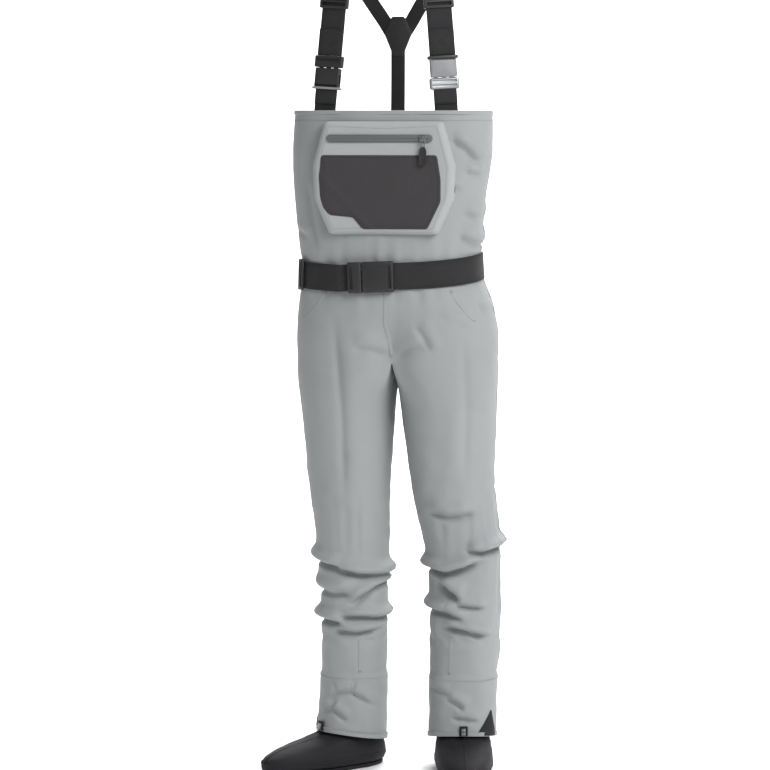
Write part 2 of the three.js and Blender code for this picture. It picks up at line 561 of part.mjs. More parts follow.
function suspender(side, sign) {
  const mirror = (v) => new THREE.Vector3(v.x * sign, v.y, v.z);
  const bottom = mirror(FRONT_FOOT);
  const top = mirror(FRONT_HEAD);
  const up = top.clone().sub(bottom).normalize();
  const adjuster = top.distanceTo(bottom) - ADJUSTER_DROP;
  const guess = new THREE.Vector3(Math.cos(STRAP_YAW), Math.sin(STRAP_YAW) * sign, 0);
  const across = guess.addScaledVector(up, -guess.dot(up)).normalize();
  const back = up.clone().cross(across).normalize();
  const frame = new THREE.Group();
  frame.matrixAutoUpdate = false;
  frame.matrix.makeBasis(across, back, up).setPosition(bottom);
  waders.add(frame);
  const name = (piece) => `${side}_${piece}`;
  const half = BUCKLE_WIDTH / 2;
  const depth = BUCKLE_THICKNESS / 2;
  const prongs = (base, direction, grow) => [-15, 0, 15].map((x) => {
    const end = base + direction * (PRONG_LENGTH + grow);
    const start = base - direction;
    return box(
      x - PRONG_WIDTH / 2 - grow, x + PRONG_WIDTH / 2 + grow,
      -PRONG_THICKNESS / 2 - grow, PRONG_THICKNESS / 2 + grow, Math.min(start, end), Math.max(start, end),
    );
  });
  // One side has its socket on the bib, the other on the strap, so that the two can't be crossed over.
  const socketLow = sign < 0;
  const lowLength = socketLow ? SOCKET_LENGTH : PLUG_BASE;
  const seam = BUCKLE_BOTTOM + lowLength;
  const highLength = socketLow ? PLUG_BASE : SOCKET_LENGTH;
  const socketZ = socketLow ? [BUCKLE_BOTTOM, seam] : [seam + 1, seam + 1 + highLength];
  const plugZ = socketLow ? [seam + 1, seam + 1 + highLength] : [BUCKLE_BOTTOM, seam];
  const toward = socketLow ? -1 : 1;
  const plugFace = socketLow ? plugZ[0] : plugZ[1];
  const socket = cut(
    box(-half, half, -depth, depth, ...socketZ), ...prongs(plugFace, toward, 1),
    ...[-1, 1].map((s) => box(
      Math.min(s * 18, s * (half + 1)), Math.max(s * 18, s * (half + 1)), -PRONG_THICKNESS / 2 - 1,
      PRONG_THICKNESS / 2 + 1, (socketZ[0] + socketZ[1]) / 2 - 8, (socketZ[0] + socketZ[1]) / 2 + 8,
    )),
  );
  const buckleLook = sign > 0 ? GREY_PLASTIC : BLACK_PLASTIC;
  add(name('buckle_socket'), socket, buckleLook, frame);
  const plugBar = box(-half, half, -depth + 1, depth - 1, ...plugZ);
  add(name('buckle_plug'), join(plugBar, ...prongs(plugFace, toward, 0)), buckleLook, frame);
  const thick = STRAP_THICKNESS / 2;
  const halfLower = halfStrap - 2.5;
  add(name('lower_strap'), box(
    -halfLower, halfLower, -thick, thick, -STRAP_TUCK, BUCKLE_BOTTOM - SEAM_GAP,
  ), BLACK_WEB, frame);

  // The upper strap runs straight to the adjuster, over the shoulder, and down to the yoke.
  const start = seam + 1 + highLength + SEAM_GAP;
  const straight = [start, adjuster - 60, adjuster + 34].map((z) => ({
    at: bottom.clone().addScaledVector(up, z).addScaledVector(back, thick), across, out: back.clone().negate(),
  }));
  const crown = SHOULDER_HEIGHT;
  const over = [
    [[95, -42, crown - 17], [1, 0.12, 0], [0, -0.66, 0.75]],
    [[93, -16, crown - 4], [1, 0.02, 0], [0, -0.28, 0.96]],
    [[92, 8, crown], [1, -0.1, 0], [0, 0.12, 0.99]],
    [[87, 36, crown - 9], [0.97, 0.18, -0.18], [0.05, 0.55, 0.84]],
    [[75, 64, crown - 34], [0.93, 0.15, -0.34], [0.05, 0.85, 0.5]],
    [[58, 86, crown - 66], [0.87, 0.05, -0.48], [0.05, 0.97, 0.2]],
    [[28, 102, crown - 114], [0.855, 0.05, -0.515], [0, 1, 0.1]],
  ].map(([at, wide, out]) => ({
    at: mirror(new THREE.Vector3(...at)),
    across: mirror(new THREE.Vector3(...wide)).multiplyScalar(sign).normalize(),
    out: mirror(new THREE.Vector3(...out)).normalize(),
  }));
  add(name('front_strap'), ribbon([...straight, ...over.slice(0, 3)], STRAP_WIDTH, STRAP_THICKNESS), BLACK_WEB);
  const narrow = over.slice(2).map((s) => ({
    ...s, at: s.at.clone().addScaledVector(s.out, -STRAP_THICKNESS - CLEARANCE),
  }));
  add(name('back_branch'), ribbon(narrow, BACK_STRAP_WIDTH, STRAP_THICKNESS), BLACK_WEB);
  // The adjuster is a flat frame with a middle bar; the strap passes through one wide slot behind the bars.
  const slider = cut(
    box(-half, half, -SLIDER_FRONT, SLIDER_FRONT - 1, adjuster - SLIDER_RISE, adjuster + SLIDER_RISE),
    box(-halfStrap - CLEARANCE, halfStrap + CLEARANCE, -thick - CLEARANCE, thick + CLEARANCE,
      adjuster - 2 * SLIDER_RISE, adjuster + 2 * SLIDER_RISE),
  );
  add(name('strap_slider'), slider, BLACK_PLASTIC, frame);
}
suspender('left', 1);
suspender('right', -1);

// The yoke is a flat six-sided leather-like plate; its straps end just above and below it.
const YOKE_FRONT = 102;
const yokeOutline = [[-12, 39], [12, 39], [27, 6], [9, -38], [-9, -38], [-27, 6]];
const YOKE_THICKNESS = 3.5;
const yokePlate = yokeOutline.map(([x, z]) => [x, z + YOKE_HEIGHT]);
const yokeFace = YOKE_FRONT + 1.5;
add('yoke', plate(yokePlate, yokeFace, yokeFace + YOKE_THICKNESS), YOKE_LEATHER);
const strapTop = YOKE_HEIGHT - 38 - SEAM_GAP;
const strapLow = BIB_TOP - BIB_BACK_DIP - 62;
const innerBack = (z) => torso(z, Math.PI / 2, -FABRIC - CLEARANCE).y;
const backRow = (lift) => [
  [0, YOKE_FRONT + 3], [1, innerBack(BIB_TOP) - 2.5], [2, innerBack(strapLow) - 2.5],
].map(([k, y]) => ({ z: [strapTop, BIB_TOP - BIB_BACK_DIP + 20, strapLow][k], y: y + lift }));
const strapSide = (lift) => [-1, 1].map((s) => backRow(lift)
  .map(({ z, y }) => new THREE.Vector3((s * BACK_STRAP_WIDTH) / 2, y, z)));
add('back_strap', sheet(strapSide(STRAP_THICKNESS), strapSide(0)), BLACK_WEB);
const anchorBack = Math.min(innerBack(strapLow), innerBack(strapLow + 52)) - 2.5 - CLEARANCE;
add('back_anchor', plate([[-30, -24], [30, -24], [30, 10], [18, 24], [-18, 24], [-30, 10]]
  .map(([x, z]) => [x, z + strapLow + 26]), anchorBack - 1.8 - 1.2, anchorBack - 1.2), GREY_CLOTH);

export default waders;
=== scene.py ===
"""Stocking-foot chest waders in worn shape: cloth, feet, pocket, belt and suspenders, and the studio."""

import math

import bmesh
import bpy
import numpy as np
from mathutils import Matrix, Vector, noise
from mathutils.bvhtree import BVHTree


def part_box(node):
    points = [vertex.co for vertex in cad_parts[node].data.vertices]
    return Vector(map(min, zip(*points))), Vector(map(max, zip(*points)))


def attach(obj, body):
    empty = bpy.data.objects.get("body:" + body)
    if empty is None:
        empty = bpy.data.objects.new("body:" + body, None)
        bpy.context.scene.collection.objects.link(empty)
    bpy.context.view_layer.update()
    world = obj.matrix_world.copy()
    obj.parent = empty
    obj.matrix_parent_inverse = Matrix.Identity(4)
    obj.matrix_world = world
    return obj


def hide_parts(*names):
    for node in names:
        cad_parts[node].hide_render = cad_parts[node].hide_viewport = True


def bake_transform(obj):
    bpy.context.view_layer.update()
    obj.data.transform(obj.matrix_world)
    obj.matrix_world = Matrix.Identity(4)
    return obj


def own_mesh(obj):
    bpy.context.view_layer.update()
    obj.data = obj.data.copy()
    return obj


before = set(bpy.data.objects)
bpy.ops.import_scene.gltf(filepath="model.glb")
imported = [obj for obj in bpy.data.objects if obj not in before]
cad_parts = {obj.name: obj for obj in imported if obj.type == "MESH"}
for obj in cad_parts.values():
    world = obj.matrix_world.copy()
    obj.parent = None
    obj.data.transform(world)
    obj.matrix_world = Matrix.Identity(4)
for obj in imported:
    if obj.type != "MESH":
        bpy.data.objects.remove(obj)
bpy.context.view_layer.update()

bl_info = {
    "name": "Chest waders",
    "version": (1, 0, 0),
    "blender": (4, 5, 0),
    "location": "View3D > Sidebar > Waders",
    "description": "Builds chest waders around their packed frame, one operator for each group of pieces",
    "category": "Add Mesh",
}

# ---- places taken from the frame ----
SOLE_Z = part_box("left_sole")[0].z
SIDES = {"left": 1, "right": -1}


def height(h):
    """The frame's z for a height above the sole, both in metres."""
    return SOLE_Z + h


# ---- settings ----
class WaderSizes(bpy.types.PropertyGroup):
    cloth: bpy.props.FloatProperty(
        name="Cloth", description="Thickness of the coated cloth", default=0.0012, unit="LENGTH"
    )
    fold_depth: bpy.props.FloatProperty(
        name="Fold depth", description="How deep the pressed folds are, 1 is as worn", default=1.0
    )
    slack: bpy.props.FloatProperty(
        name="Leg slack", description="Share of spare cloth length below the knees", default=0.11
    )
    webbing: bpy.props.FloatProperty(
        name="Webbing", description="Thickness of the strap webbing", default=0.0018, unit="LENGTH"
    )
    stitch: bpy.props.FloatProperty(
        name="Stitch", description="Length of one stitch", default=0.0032, unit="LENGTH"
    )


def colour(name, description, default):
    return bpy.props.FloatVectorProperty(
        name=name, description=description, default=default, size=3, subtype="COLOR", min=0, max=1
    )


class WaderColours(bpy.types.PropertyGroup):
    cloth: colour("Cloth", "Coated grey cloth", (0.300, 0.313, 0.318))
    pocket: colour("Pocket", "Lighter pocket cloth", (0.352, 0.365, 0.371))
    patch: colour("Patch", "Charcoal pocket patch", (0.032, 0.027, 0.031))
    webbing: colour("Webbing", "Strap webbing", (0.010, 0.010, 0.011))
    neoprene: colour("Neoprene", "Stocking feet", (0.010, 0.009, 0.012))
    plastic: colour("Plastic", "Black buckles", (0.010, 0.010, 0.011))
    # grey of the left suspender socket's body; the right socket's bar takes the same grey as a painted
    # highlight
    grey_and_highlight: colour("Grey and highlight", "Left socket grey, and the right socket bar's painted highlight", (0.19, 0.195, 0.205))
    leather: colour("Leather", "Yoke", (0.014, 0.013, 0.013))
    zip: colour("Zip", "Zip tape", (0.115, 0.12, 0.125))


def sizes():
    return bpy.context.scene.wader_sizes


def colours():
    return bpy.context.scene.wader_colours


# ---- node groups and materials ----
class Nodes:
    """A small helper that adds nodes and links inside one tree."""

    def __init__(self, tree):
        self.tree = tree

    def add(self, kind, **values):
        node = self.tree.nodes.new(kind)
        for key, value in values.items():
            setattr(node, key, value)
        return node

    def link(self, source, target):
        self.tree.links.new(source, target)

    def math(self, operation, a, b=None):
        node = self.add("ShaderNodeMath", operation=operation)
        for socket, value in zip(node.inputs, (a, b)):
            if value is None:
                continue
            if isinstance(value, (int, float)):
                socket.default_value = value
            else:
                self.link(value, socket)
        return node.outputs[0]

    def mix(self, factor, a, b):
        node = self.add("ShaderNodeMix", data_type="RGBA")
        for socket, value in ((node.inputs[0], factor), (node.inputs[6], a), (node.inputs[7], b)):
            if isinstance(value, (int, float)):
                socket.default_value = value
            elif isinstance(value, tuple):
                socket.default_value = (*value, 1) if len(value) == 3 else value
            else:
                self.link(value, socket)
        return node.outputs[2]

    def noise(self, vector, scale, detail=2.0):
        node = self.add("ShaderNodeTexNoise")
        node.inputs["Scale"].default_value = scale
        node.inputs["Detail"].default_value = detail
        self.link(vector, node.inputs["Vector"])
        return node.outputs["Fac"]


def new_group(name, inputs, outputs):
    group = bpy.data.node_groups.new(name, "ShaderNodeTree")
    for socket, kind, value in inputs:
        made = group.interface.new_socket(socket, in_out="INPUT", socket_type=kind)
        if value is not None:
            made.default_value = value
    for socket, kind in outputs:
        group.interface.new_socket(socket, in_out="OUTPUT", socket_type=kind)
    nodes = Nodes(group)
    return group, nodes, nodes.add("NodeGroupInput"), nodes.add("NodeGroupOutput")


def weave_group():
    """Two crossed sets of threads: a height for the bump and a mask that is bright on the threads."""
    group, nodes, given, result = new_group(
        "Woven threads",
        [
            ("Vector", "NodeSocketVector", None),
            ("Thread", "NodeSocketFloat", 1400.0),
            ("Slope", "NodeSocketFloat", 1.0),
        ],
        [("Height", "NodeSocketFloat"), ("Mask", "NodeSocketFloat")],
    )
    split = nodes.add("ShaderNodeSeparateXYZ")
    nodes.link(given.outputs["Vector"], split.inputs[0])
    across = nodes.math("MULTIPLY", split.outputs[0], given.outputs["Thread"])
    along = nodes.math("MULTIPLY", split.outputs[1], given.outputs["Thread"])
    warp = nodes.math(
        "SINE", nodes.math("ADD", across, nodes.math("MULTIPLY", along, given.outputs["Slope"]))
    )
    weft = nodes.math(
        "SINE", nodes.math("SUBTRACT", along, nodes.math("MULTIPLY", across, given.outputs["Slope"]))
    )
    product = nodes.math("MULTIPLY", warp, weft)
    height_out = nodes.math("MULTIPLY_ADD", product, 0.5)
    height_out.node.inputs[2].default_value = 0.5
    nodes.link(height_out, result.inputs["Height"])
    nodes.link(nodes.math("POWER", height_out, 1.6), result.inputs["Mask"])
    return group


def mottle_group():
    """Slow colour change over a surface, as handled cloth and moulded parts have."""
    group, nodes, given, result = new_group(
        "Mottle",
        [("Vector", "NodeSocketVector", None), ("Scale", "NodeSocketFloat", 9.0), ("Colour",
         "NodeSocketColor", None),
         ("Strength", "NodeSocketFloat", 0.12)],
        [("Colour", "NodeSocketColor"), ("Value", "NodeSocketFloat")],
    )
    tex = nodes.add("ShaderNodeTexNoise")
    nodes.link(given.outputs["Vector"], tex.inputs["Vector"])
    nodes.link(given.outputs["Scale"], tex.inputs["Scale"])
    tex.inputs["Detail"].default_value = 4
    centred = nodes.math("SUBTRACT", tex.outputs["Fac"], 0.5)
    amount = nodes.math("MULTIPLY", centred, given.outputs["Strength"])
    bright = nodes.add("ShaderNodeHueSaturation")
    nodes.link(nodes.math("ADD", nodes.math("MULTIPLY", amount, 2.0), 1.0), bright.inputs["Value"])
    nodes.link(given.outputs["Colour"], bright.inputs["Color"])
    nodes.link(bright.outputs[0], result.inputs["Colour"])
    nodes.link(tex.outputs["Fac"], result.inputs["Value"])
    return group


def edge_group():
    """A mask that is bright along convex edges, from the mesh's own pointiness."""
    group, nodes, given, result = new_group(
        "Worn edge", [
            ("Start", "NodeSocketFloat", 0.52), ("End", "NodeSocketFloat", 0.6)
        ], [("Mask", "NodeSocketFloat")]
    )
    geometry = nodes.add("ShaderNodeNewGeometry")
    ranged = nodes.add("ShaderNodeMapRange")
    nodes.link(geometry.outputs["Pointiness"], ranged.inputs["Value"])
    nodes.link(given.outputs["Start"], ranged.inputs["From Min"])
    nodes.link(given.outputs["End"], ranged.inputs["From Max"])
    nodes.link(ranged.outputs["Result"], result.inputs["Mask"])
    return group


GROUPS = {}


def use_group(nodes, name, **values):
    if name not in GROUPS:
        GROUPS[name] = {"weave": weave_group, "mottle": mottle_group, "edge": edge_group}[name]()
    node = nodes.add("ShaderNodeGroup", node_tree=GROUPS[name])
    for key, value in values.items():
        socket = node.inputs[key]
        if isinstance(value, tuple):
            socket.default_value = (*value, 1)
        elif isinstance(value, (int, float)):
            socket.default_value = value
        else:
            nodes.link(value, socket)
    return node


def new_material(name):
    material = bpy.data.materials.new(name)
    material.use_nodes = True
    nodes = Nodes(material.node_tree)
    return material, nodes, material.node_tree.nodes["Principled BSDF"]


def set_bump(nodes, shader, height_socket, strength, distance):
    bump = nodes.add("ShaderNodeBump")
    bump.inputs["Strength"].default_value = strength
    bump.inputs["Distance"].default_value = distance
    nodes.link(height_socket, bump.inputs["Height"])
    nodes.link(bump.outputs[0], shader.inputs["Normal"])


def cloth_material(name, base, thread=2600.0, rough=0.78, sheen=0.03, bump=0.35, slope=0.0, mottle=0.1):
    """Woven cloth on the piece's own UV map, which is in metres."""
    material, nodes, shader = new_material(name)
    uv = nodes.add("ShaderNodeTexCoord").outputs["UV"]
    place = nodes.add("ShaderNodeTexCoord").outputs["Object"]
    weave = use_group(nodes, "weave", Vector=uv, Thread=thread, Slope=slope)
    tone = use_group(nodes, "mottle", Vector=place, Scale=7.0, Colour=tuple(base), Strength=mottle)
    dark = nodes.mix(0.16, tone.outputs["Colour"], (0.0, 0.0, 0.0))
    nodes.link(nodes.mix(weave.outputs["Mask"], dark, tone.outputs["Colour"]), shader.inputs["Base Color"])
    fine = nodes.noise(place, 900.0, 1.0)
    slow = nodes.noise(place, 60.0, 3.0)
    total = nodes.math("ADD", weave.outputs["Height"], nodes.math("MULTIPLY", fine, 0.5))
    total = nodes.math("ADD", total, nodes.math("MULTIPLY", slow, 1.4))
    set_bump(nodes, shader, total, bump, 0.0006)
    rough_out = nodes.math("ADD", nodes.math("MULTIPLY", tone.outputs["Value"], 0.12), rough - 0.06)
    nodes.link(rough_out, shader.inputs["Roughness"])
    shader.inputs["Sheen Weight"].default_value = sheen
    shader.inputs["Sheen Roughness"].default_value = 0.5
    return material


def webbing_material(name, base):
    """Close diagonal webbing with a paler sheen on the raised threads."""
    material, nodes, shader = new_material(name)
    uv = nodes.add("ShaderNodeTexCoord").outputs["UV"]
    place = nodes.add("ShaderNodeTexCoord").outputs["Object"]
    weave = use_group(nodes, "weave", Vector=uv, Thread=2600.0, Slope=0.55)
    pale = tuple(min(1.0, value * 2.2 + 0.006) for value in base)
    tone = use_group(nodes, "mottle", Vector=place, Scale=40.0, Colour=pale, Strength=0.25)
    nodes.link(
        nodes.mix(weave.outputs["Mask"], tuple(base), tone.outputs["Colour"]), shader.inputs["Base Color"]
    )
    set_bump(nodes, shader, weave.outputs["Height"], 0.8, 0.0006)
    shader.inputs["Roughness"].default_value = 0.72
    shader.inputs["Specular IOR Level"].default_value = 0.3
    return material


def plastic_material(name, base, rough=0.42, metallic=0.0):
    """Moulded plastic with a fine texture and worn, paler edges."""
    material, nodes, shader = new_material(name)
    place = nodes.add("ShaderNodeTexCoord").outputs["Object"]
    tone = use_group(nodes, "mottle", Vector=place, Scale=55.0, Colour=tuple(base), Strength=0.18)
    edge = use_group(nodes, "edge")
    pale = tuple(min(1.0, value * 1.6 + 0.015) for value in base)
    worn = nodes.math("MULTIPLY", edge.outputs["Mask"], nodes.noise(place, 240.0, 2.0))
    nodes.link(nodes.mix(worn, tone.outputs["Colour"], pale), shader.inputs["Base Color"])
    nodes.link(
        nodes.math("ADD", nodes.math("MULTIPLY", tone.outputs["Value"], 0.15), rough),
        shader.inputs["Roughness"],
    )
    shader.inputs["Metallic"].default_value = metallic
    set_bump(nodes, shader, nodes.noise(place, 1800.0, 1.0), 0.15, 0.0002)
    return material


def neoprene_material(name, base):
    """Knit-faced foam rubber: a fine rib over soft dimples."""
    material, nodes, shader = new_material(name)
    place = nodes.add("ShaderNodeTexCoord").outputs["Object"]
    tone = use_group(nodes, "mottle", Vector=place, Scale=16.0, Colour=tuple(base), Strength=0.3)
    nodes.link(tone.outputs["Colour"], shader.inputs["Base Color"])
    cells = nodes.add("ShaderNodeTexVoronoi")
    cells.inputs["Scale"].default_value = 520.0
    nodes.link(place, cells.inputs["Vector"])
    soft = nodes.math("ADD", cells.outputs["Distance"], nodes.math("MULTIPLY", nodes.noise(place, 70.0), 0.8))
    set_bump(nodes, shader, soft, 0.4, 0.0005)
    shader.inputs["Roughness"].default_value = 0.74
    shader.inputs["Specular IOR Level"].default_value = 0.3
    return material


def leather_material(name, base):
    material, nodes, shader = new_material(name)
    place = nodes.add("ShaderNodeTexCoord").outputs["Object"]
    tone = use_group(nodes, "mottle", Vector=place, Scale=60.0, Colour=tuple(base), Strength=0.35)
    nodes.link(tone.outputs["Colour"], shader.inputs["Base Color"])
    grain = nodes.add("ShaderNodeTexVoronoi")
    grain.inputs["Scale"].default_value = 900.0
    nodes.link(place, grain.inputs["Vector"])
    set_bump(nodes, shader, grain.outputs["Distance"], 0.5, 0.0004)
    shader.inputs["Roughness"].default_value = 0.5
    return material


def metal_material(name, base, rough=0.25):
    material, nodes, shader = new_material(name)
    place = nodes.add("ShaderNodeTexCoord").outputs["Object"]
    tone = use_group(nodes, "mottle", Vector=place, Scale=90.0, Colour=tuple(base), Strength=0.15)
    nodes.link(tone.outputs["Colour"], shader.inputs["Base Color"])
    nodes.link(
        nodes.math("ADD", nodes.math("MULTIPLY", tone.outputs["Value"], 0.2), rough),
        shader.inputs["Roughness"],
    )
    shader.inputs["Metallic"].default_value = 1.0
    return material


MATERIALS = {}


def material(name):
    if name not in MATERIALS:
        c = colours()
        MATERIALS[name] = {
            "cloth": lambda: cloth_material("Grey cloth", c.cloth),
            "pocket": lambda: cloth_material("Pocket cloth", c.pocket, mottle=0.06),
            "patch": lambda: cloth_material("Charcoal cloth", c.patch, thread=1900.0, rough=0.75, sheen=0.0),
            "webbing": lambda: webbing_material("Black webbing", c.webbing),
            "plastic": lambda: plastic_material("Black plastic", c.plastic),
            # the left socket's grey plastic, also the painted highlight on the right socket's bar
            "grey_and_highlight": lambda: plastic_material("Plastic grey and painted highlight", c.grey_and_highlight, 0.34),
            "neoprene": lambda: neoprene_material("Neoprene", c.neoprene),
            "leather": lambda: leather_material("Yoke leather", c.leather),
            "zip": lambda: cloth_material("Zip tape", c.zip, thread=3200.0, rough=0.5, sheen=0.05),
            "metal": lambda: metal_material("Plated metal", (0.24, 0.245, 0.25)),
            "bright": lambda: metal_material("Bright plating", (0.36, 0.37, 0.38), 0.45),
            "thread": lambda: cloth_material("Sewing thread", tuple(v * 0.8 for v in c.cloth), thread=5200.0),
            "dark_thread": lambda: cloth_material("Dark thread", (0.05, 0.05, 0.052), thread=5200.0),
            "tape": lambda: cloth_material("Seam tape", tuple(v * 0.85 for v in c.cloth), rough=0.6),
        }[name]()
    return MATERIALS[name]


# ---- mesh helpers ----
def new_object(name, points, faces, uvs=None, look="cloth", smooth=True):
    """A mesh object whose uvs, if given, hold one pair in metres for each point."""
    mesh = bpy.data.meshes.new(name)
    mesh.from_pydata([tuple(p) for p in points], [], faces)
    if uvs is not None:
        layer = mesh.uv_layers.new(name="UVMap")
        loops = np.zeros(len(mesh.loops), np.int32)
        mesh.loops.foreach_get("vertex_index", loops)
        layer.data.foreach_set("uv", np.asarray(uvs, np.float32)[loops].ravel())
    mesh.polygons.foreach_set("use_smooth", [smooth] * len(mesh.polygons))
    obj = bpy.data.objects.new(name, mesh)
    bpy.context.scene.collection.objects.link(obj)
    mesh.materials.append(material(look))
    return obj


def only(obj):
    """Makes obj the one selected, active object."""
    if bpy.context.object and bpy.context.object.mode != "OBJECT":
        bpy.ops.object.mode_set(mode="OBJECT")
    bpy.ops.object.select_all(action="DESELECT")
    obj.select_set(True)
    bpy.context.view_layer.objects.active = obj


def modify(obj, kind, **values):
    """Adds one modifier with those values and applies it."""
    only(obj)
    modifier = obj.modifiers.new(kind.title(), kind)
    for key, value in values.items():
        setattr(modifier, key, value)
    bpy.ops.object.modifier_apply(modifier=modifier.name)
    return obj


def points_of(obj):
    co = np.zeros(len(obj.data.vertices) * 3)
    obj.data.vertices.foreach_get("co", co)
    return co.reshape(-1, 3)


def set_points(obj, co):
    obj.data.vertices.foreach_set("co", np.asarray(co, float).ravel())
    obj.data.update()


def finish_piece(obj, body, replaced=()):
    """Puts the piece on its body and hides the frame's parts that it replaces."""
    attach(obj, body)
    if replaced:
        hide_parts(*replaced)
    return obj


def smooth_edges(obj, angle=35):
    only(obj)
    bpy.ops.object.shade_smooth_by_angle(angle=math.radians(angle))
    return obj


# ---- body sections: height above the sole, centre x, centre y, half width, half depth, in metres ----
TORSO = (
    (0.790, 0.014, 0.0, 0.191, 0.127),
    (0.850, 0.013, 0.0, 0.191, 0.127),
    (0.905, 0.008, 0.0, 0.182, 0.119),
    (0.952, 0.003, 0.0, 0.171, 0.114),
    (1.011, 0.0, 0.0, 0.174, 0.112),
    (1.095, -0.001, 0.0, 0.181, 0.111),
    (1.180, 0.002, 0.0, 0.189, 0.110),
    (1.262, 0.005, 0.0, 0.188, 0.106),
)
LEGS = {
    "left": (
        (0.060, 0.138, 0.005, 0.062, 0.066),
        (0.160, 0.139, 0.008, 0.062, 0.066),
        (0.240, 0.142, 0.008, 0.067, 0.070),
        (0.395, 0.144, -0.002, 0.070, 0.075),
        (0.470, 0.136, -0.008, 0.076, 0.080),
        (0.545, 0.121, -0.004, 0.078, 0.088),
        (0.680, 0.112, 0.0, 0.090, 0.107),
        (0.790, 0.1125, 0.0, 0.092, 0.125),
    ),
    "right": (
        (0.060, -0.077, 0.005, 0.064, 0.068),
        (0.160, -0.073, 0.008, 0.062, 0.066),
        (0.240, -0.072, 0.008, 0.063, 0.070),
        (0.395, -0.071, -0.002, 0.068, 0.075),
        (0.470, -0.074, -0.008, 0.071, 0.080),
        (0.545, -0.079, -0.004, 0.077, 0.088),
        (0.680, -0.081, 0.0, 0.089, 0.107),
        (0.790, -0.0845, 0.0, 0.092, 0.125),
    ),
}
TOE_OUT = {"left": math.radians(8), "right": math.radians(-46)}
FOOT_PLACE = {"left": (0.139, 0.008), "right": (-0.074, 0.007)}
HALF_RING = 56
CROTCH_RING = 26
ROW_STEP = 0.009
HEM = 0.060
HEM_ARCH = 0.012
GUARD = 0.180
CROTCH = 0.790
BIB = 1.262
BELT = 0.952
BACK_DIP = 0.050


def smooth(t):
    t = np.clip(t, 0.0, 1.0)
    return t * t * (3 - 2 * t)


def section(table, h):
    """Centre and half sizes at a height, on a smooth curve through the table's rows."""
    rows = np.array(table)
    heights, values = rows[:, 0], rows[:, 1:]
    slopes = np.gradient(values, heights, axis=0)
    k = int(np.clip(np.searchsorted(heights, h) - 1, 0, len(heights) - 2))
    span = heights[k + 1] - heights[k]
    t = float(np.clip((h - heights[k]) / span, 0, 1))
    a = (2 * t**3 - 3 * t**2 + 1) * values[k] + (t**3 - 2 * t**2 + t) * span * slopes[k]
    b = (-2 * t**3 + 3 * t**2) * values[k + 1] + (t**3 - t**2) * span * slopes[k + 1]
    return a + b


def outline(table, squareness, h, count, start, offset=0.0):
    """Evenly spaced points round a rounded-square section, counterclockwise from the start angle."""
    cx, cy, a, b = section(table, h)
    angles = start + np.linspace(0, 2 * math.pi, 721)
    power = 2 / squareness
    c, s = np.cos(angles), np.sin(angles)
    x = cx + (a + offset) * np.sign(c) * np.abs(c) ** power
    y = cy + (b + offset) * np.sign(s) * np.abs(s) ** power
    length = np.concatenate([[0], np.cumsum(np.hypot(np.diff(x), np.diff(y)))])
    places = np.linspace(0, length[-1], count + 1)[:-1]
    return np.stack([np.interp(places, length, x), np.interp(places, length, y)], 1)


def torso_ring(h, offset=0.0):
    ring = outline(TORSO, 2.8, h, 2 * HALF_RING, -math.pi / 2, offset)
    fall = smooth((0.90 - h) / (0.90 - CROTCH))
    middle = np.exp(-(((ring[:, 0] - section(TORSO, h)[0]) / 0.034) ** 2))
    front = (ring[:, 1] < 0).astype(float)
    ring[:, 1] += middle * fall * (0.024 * front - 0.02 * (1 - front))
    return ring


def crotch_line(ring):
    """Points from the back centre to the front centre, under the crotch, without its ends."""
    back, front = ring[HALF_RING], ring[0]
    t = np.linspace(0, 1, CROTCH_RING + 1)[1:-1]
    line = back + (front - back) * t[:, None]
    drop = -0.012 * np.sin(math.pi * t)
    return line, drop


def leg_ring(side, h, offset=0.0):
    """One row of a leg, in the order of the torso's half ring and then the inside of the leg."""
    count = HALF_RING + CROTCH_RING
    start = math.pi if side == "left" else 0.0
    ring = np.roll(outline(LEGS[side], 2.3, h, count, start, offset), -CROTCH_RING // 2, axis=0)
    rows = np.full(count, h)
    share = float(smooth((CROTCH - h) / 0.1))
    if share < 1:
        top = torso_ring(CROTCH)
        line, drop = crotch_line(top)
        if side == "left":
            first = np.concatenate([top[: HALF_RING + 1], line])
            rows[HALF_RING + 1 :] += drop * (1 - share)
        else:
            first = np.concatenate([top[HALF_RING:], top[:1], line[::-1]])
            rows[HALF_RING + 1 :] += drop[::-1] * (1 - share)
        ring = first + (ring - first) * share
    low = max(0.0, (GUARD - h) / (GUARD - HEM))
    cx, cy = section(LEGS[side], h)[:2]
    angle = np.arctan2(ring[:, 1] - cy, ring[:, 0] - cx)
    rows = rows + HEM_ARCH * np.cos(angle + math.pi / 2 - TOE_OUT[side]) * low
    return ring, rows


def leg_heights(low=HEM, high=CROTCH):
    middle = KNEE + 0.009
    upper = np.linspace(high, middle, round((high - middle) / ROW_STEP) + 1)
    return np.concatenate(
        [upper, np.linspace(middle, low, round((middle - low) / (0.66 * ROW_STEP)) + 1)[1:]]
    )


PIECES = (
    "body",
    "left_upper_leg",
    "left_lower_leg",
    "left_guard",
    "right_upper_leg",
    "right_lower_leg",
    "right_guard",
)
KNEE = 0.545


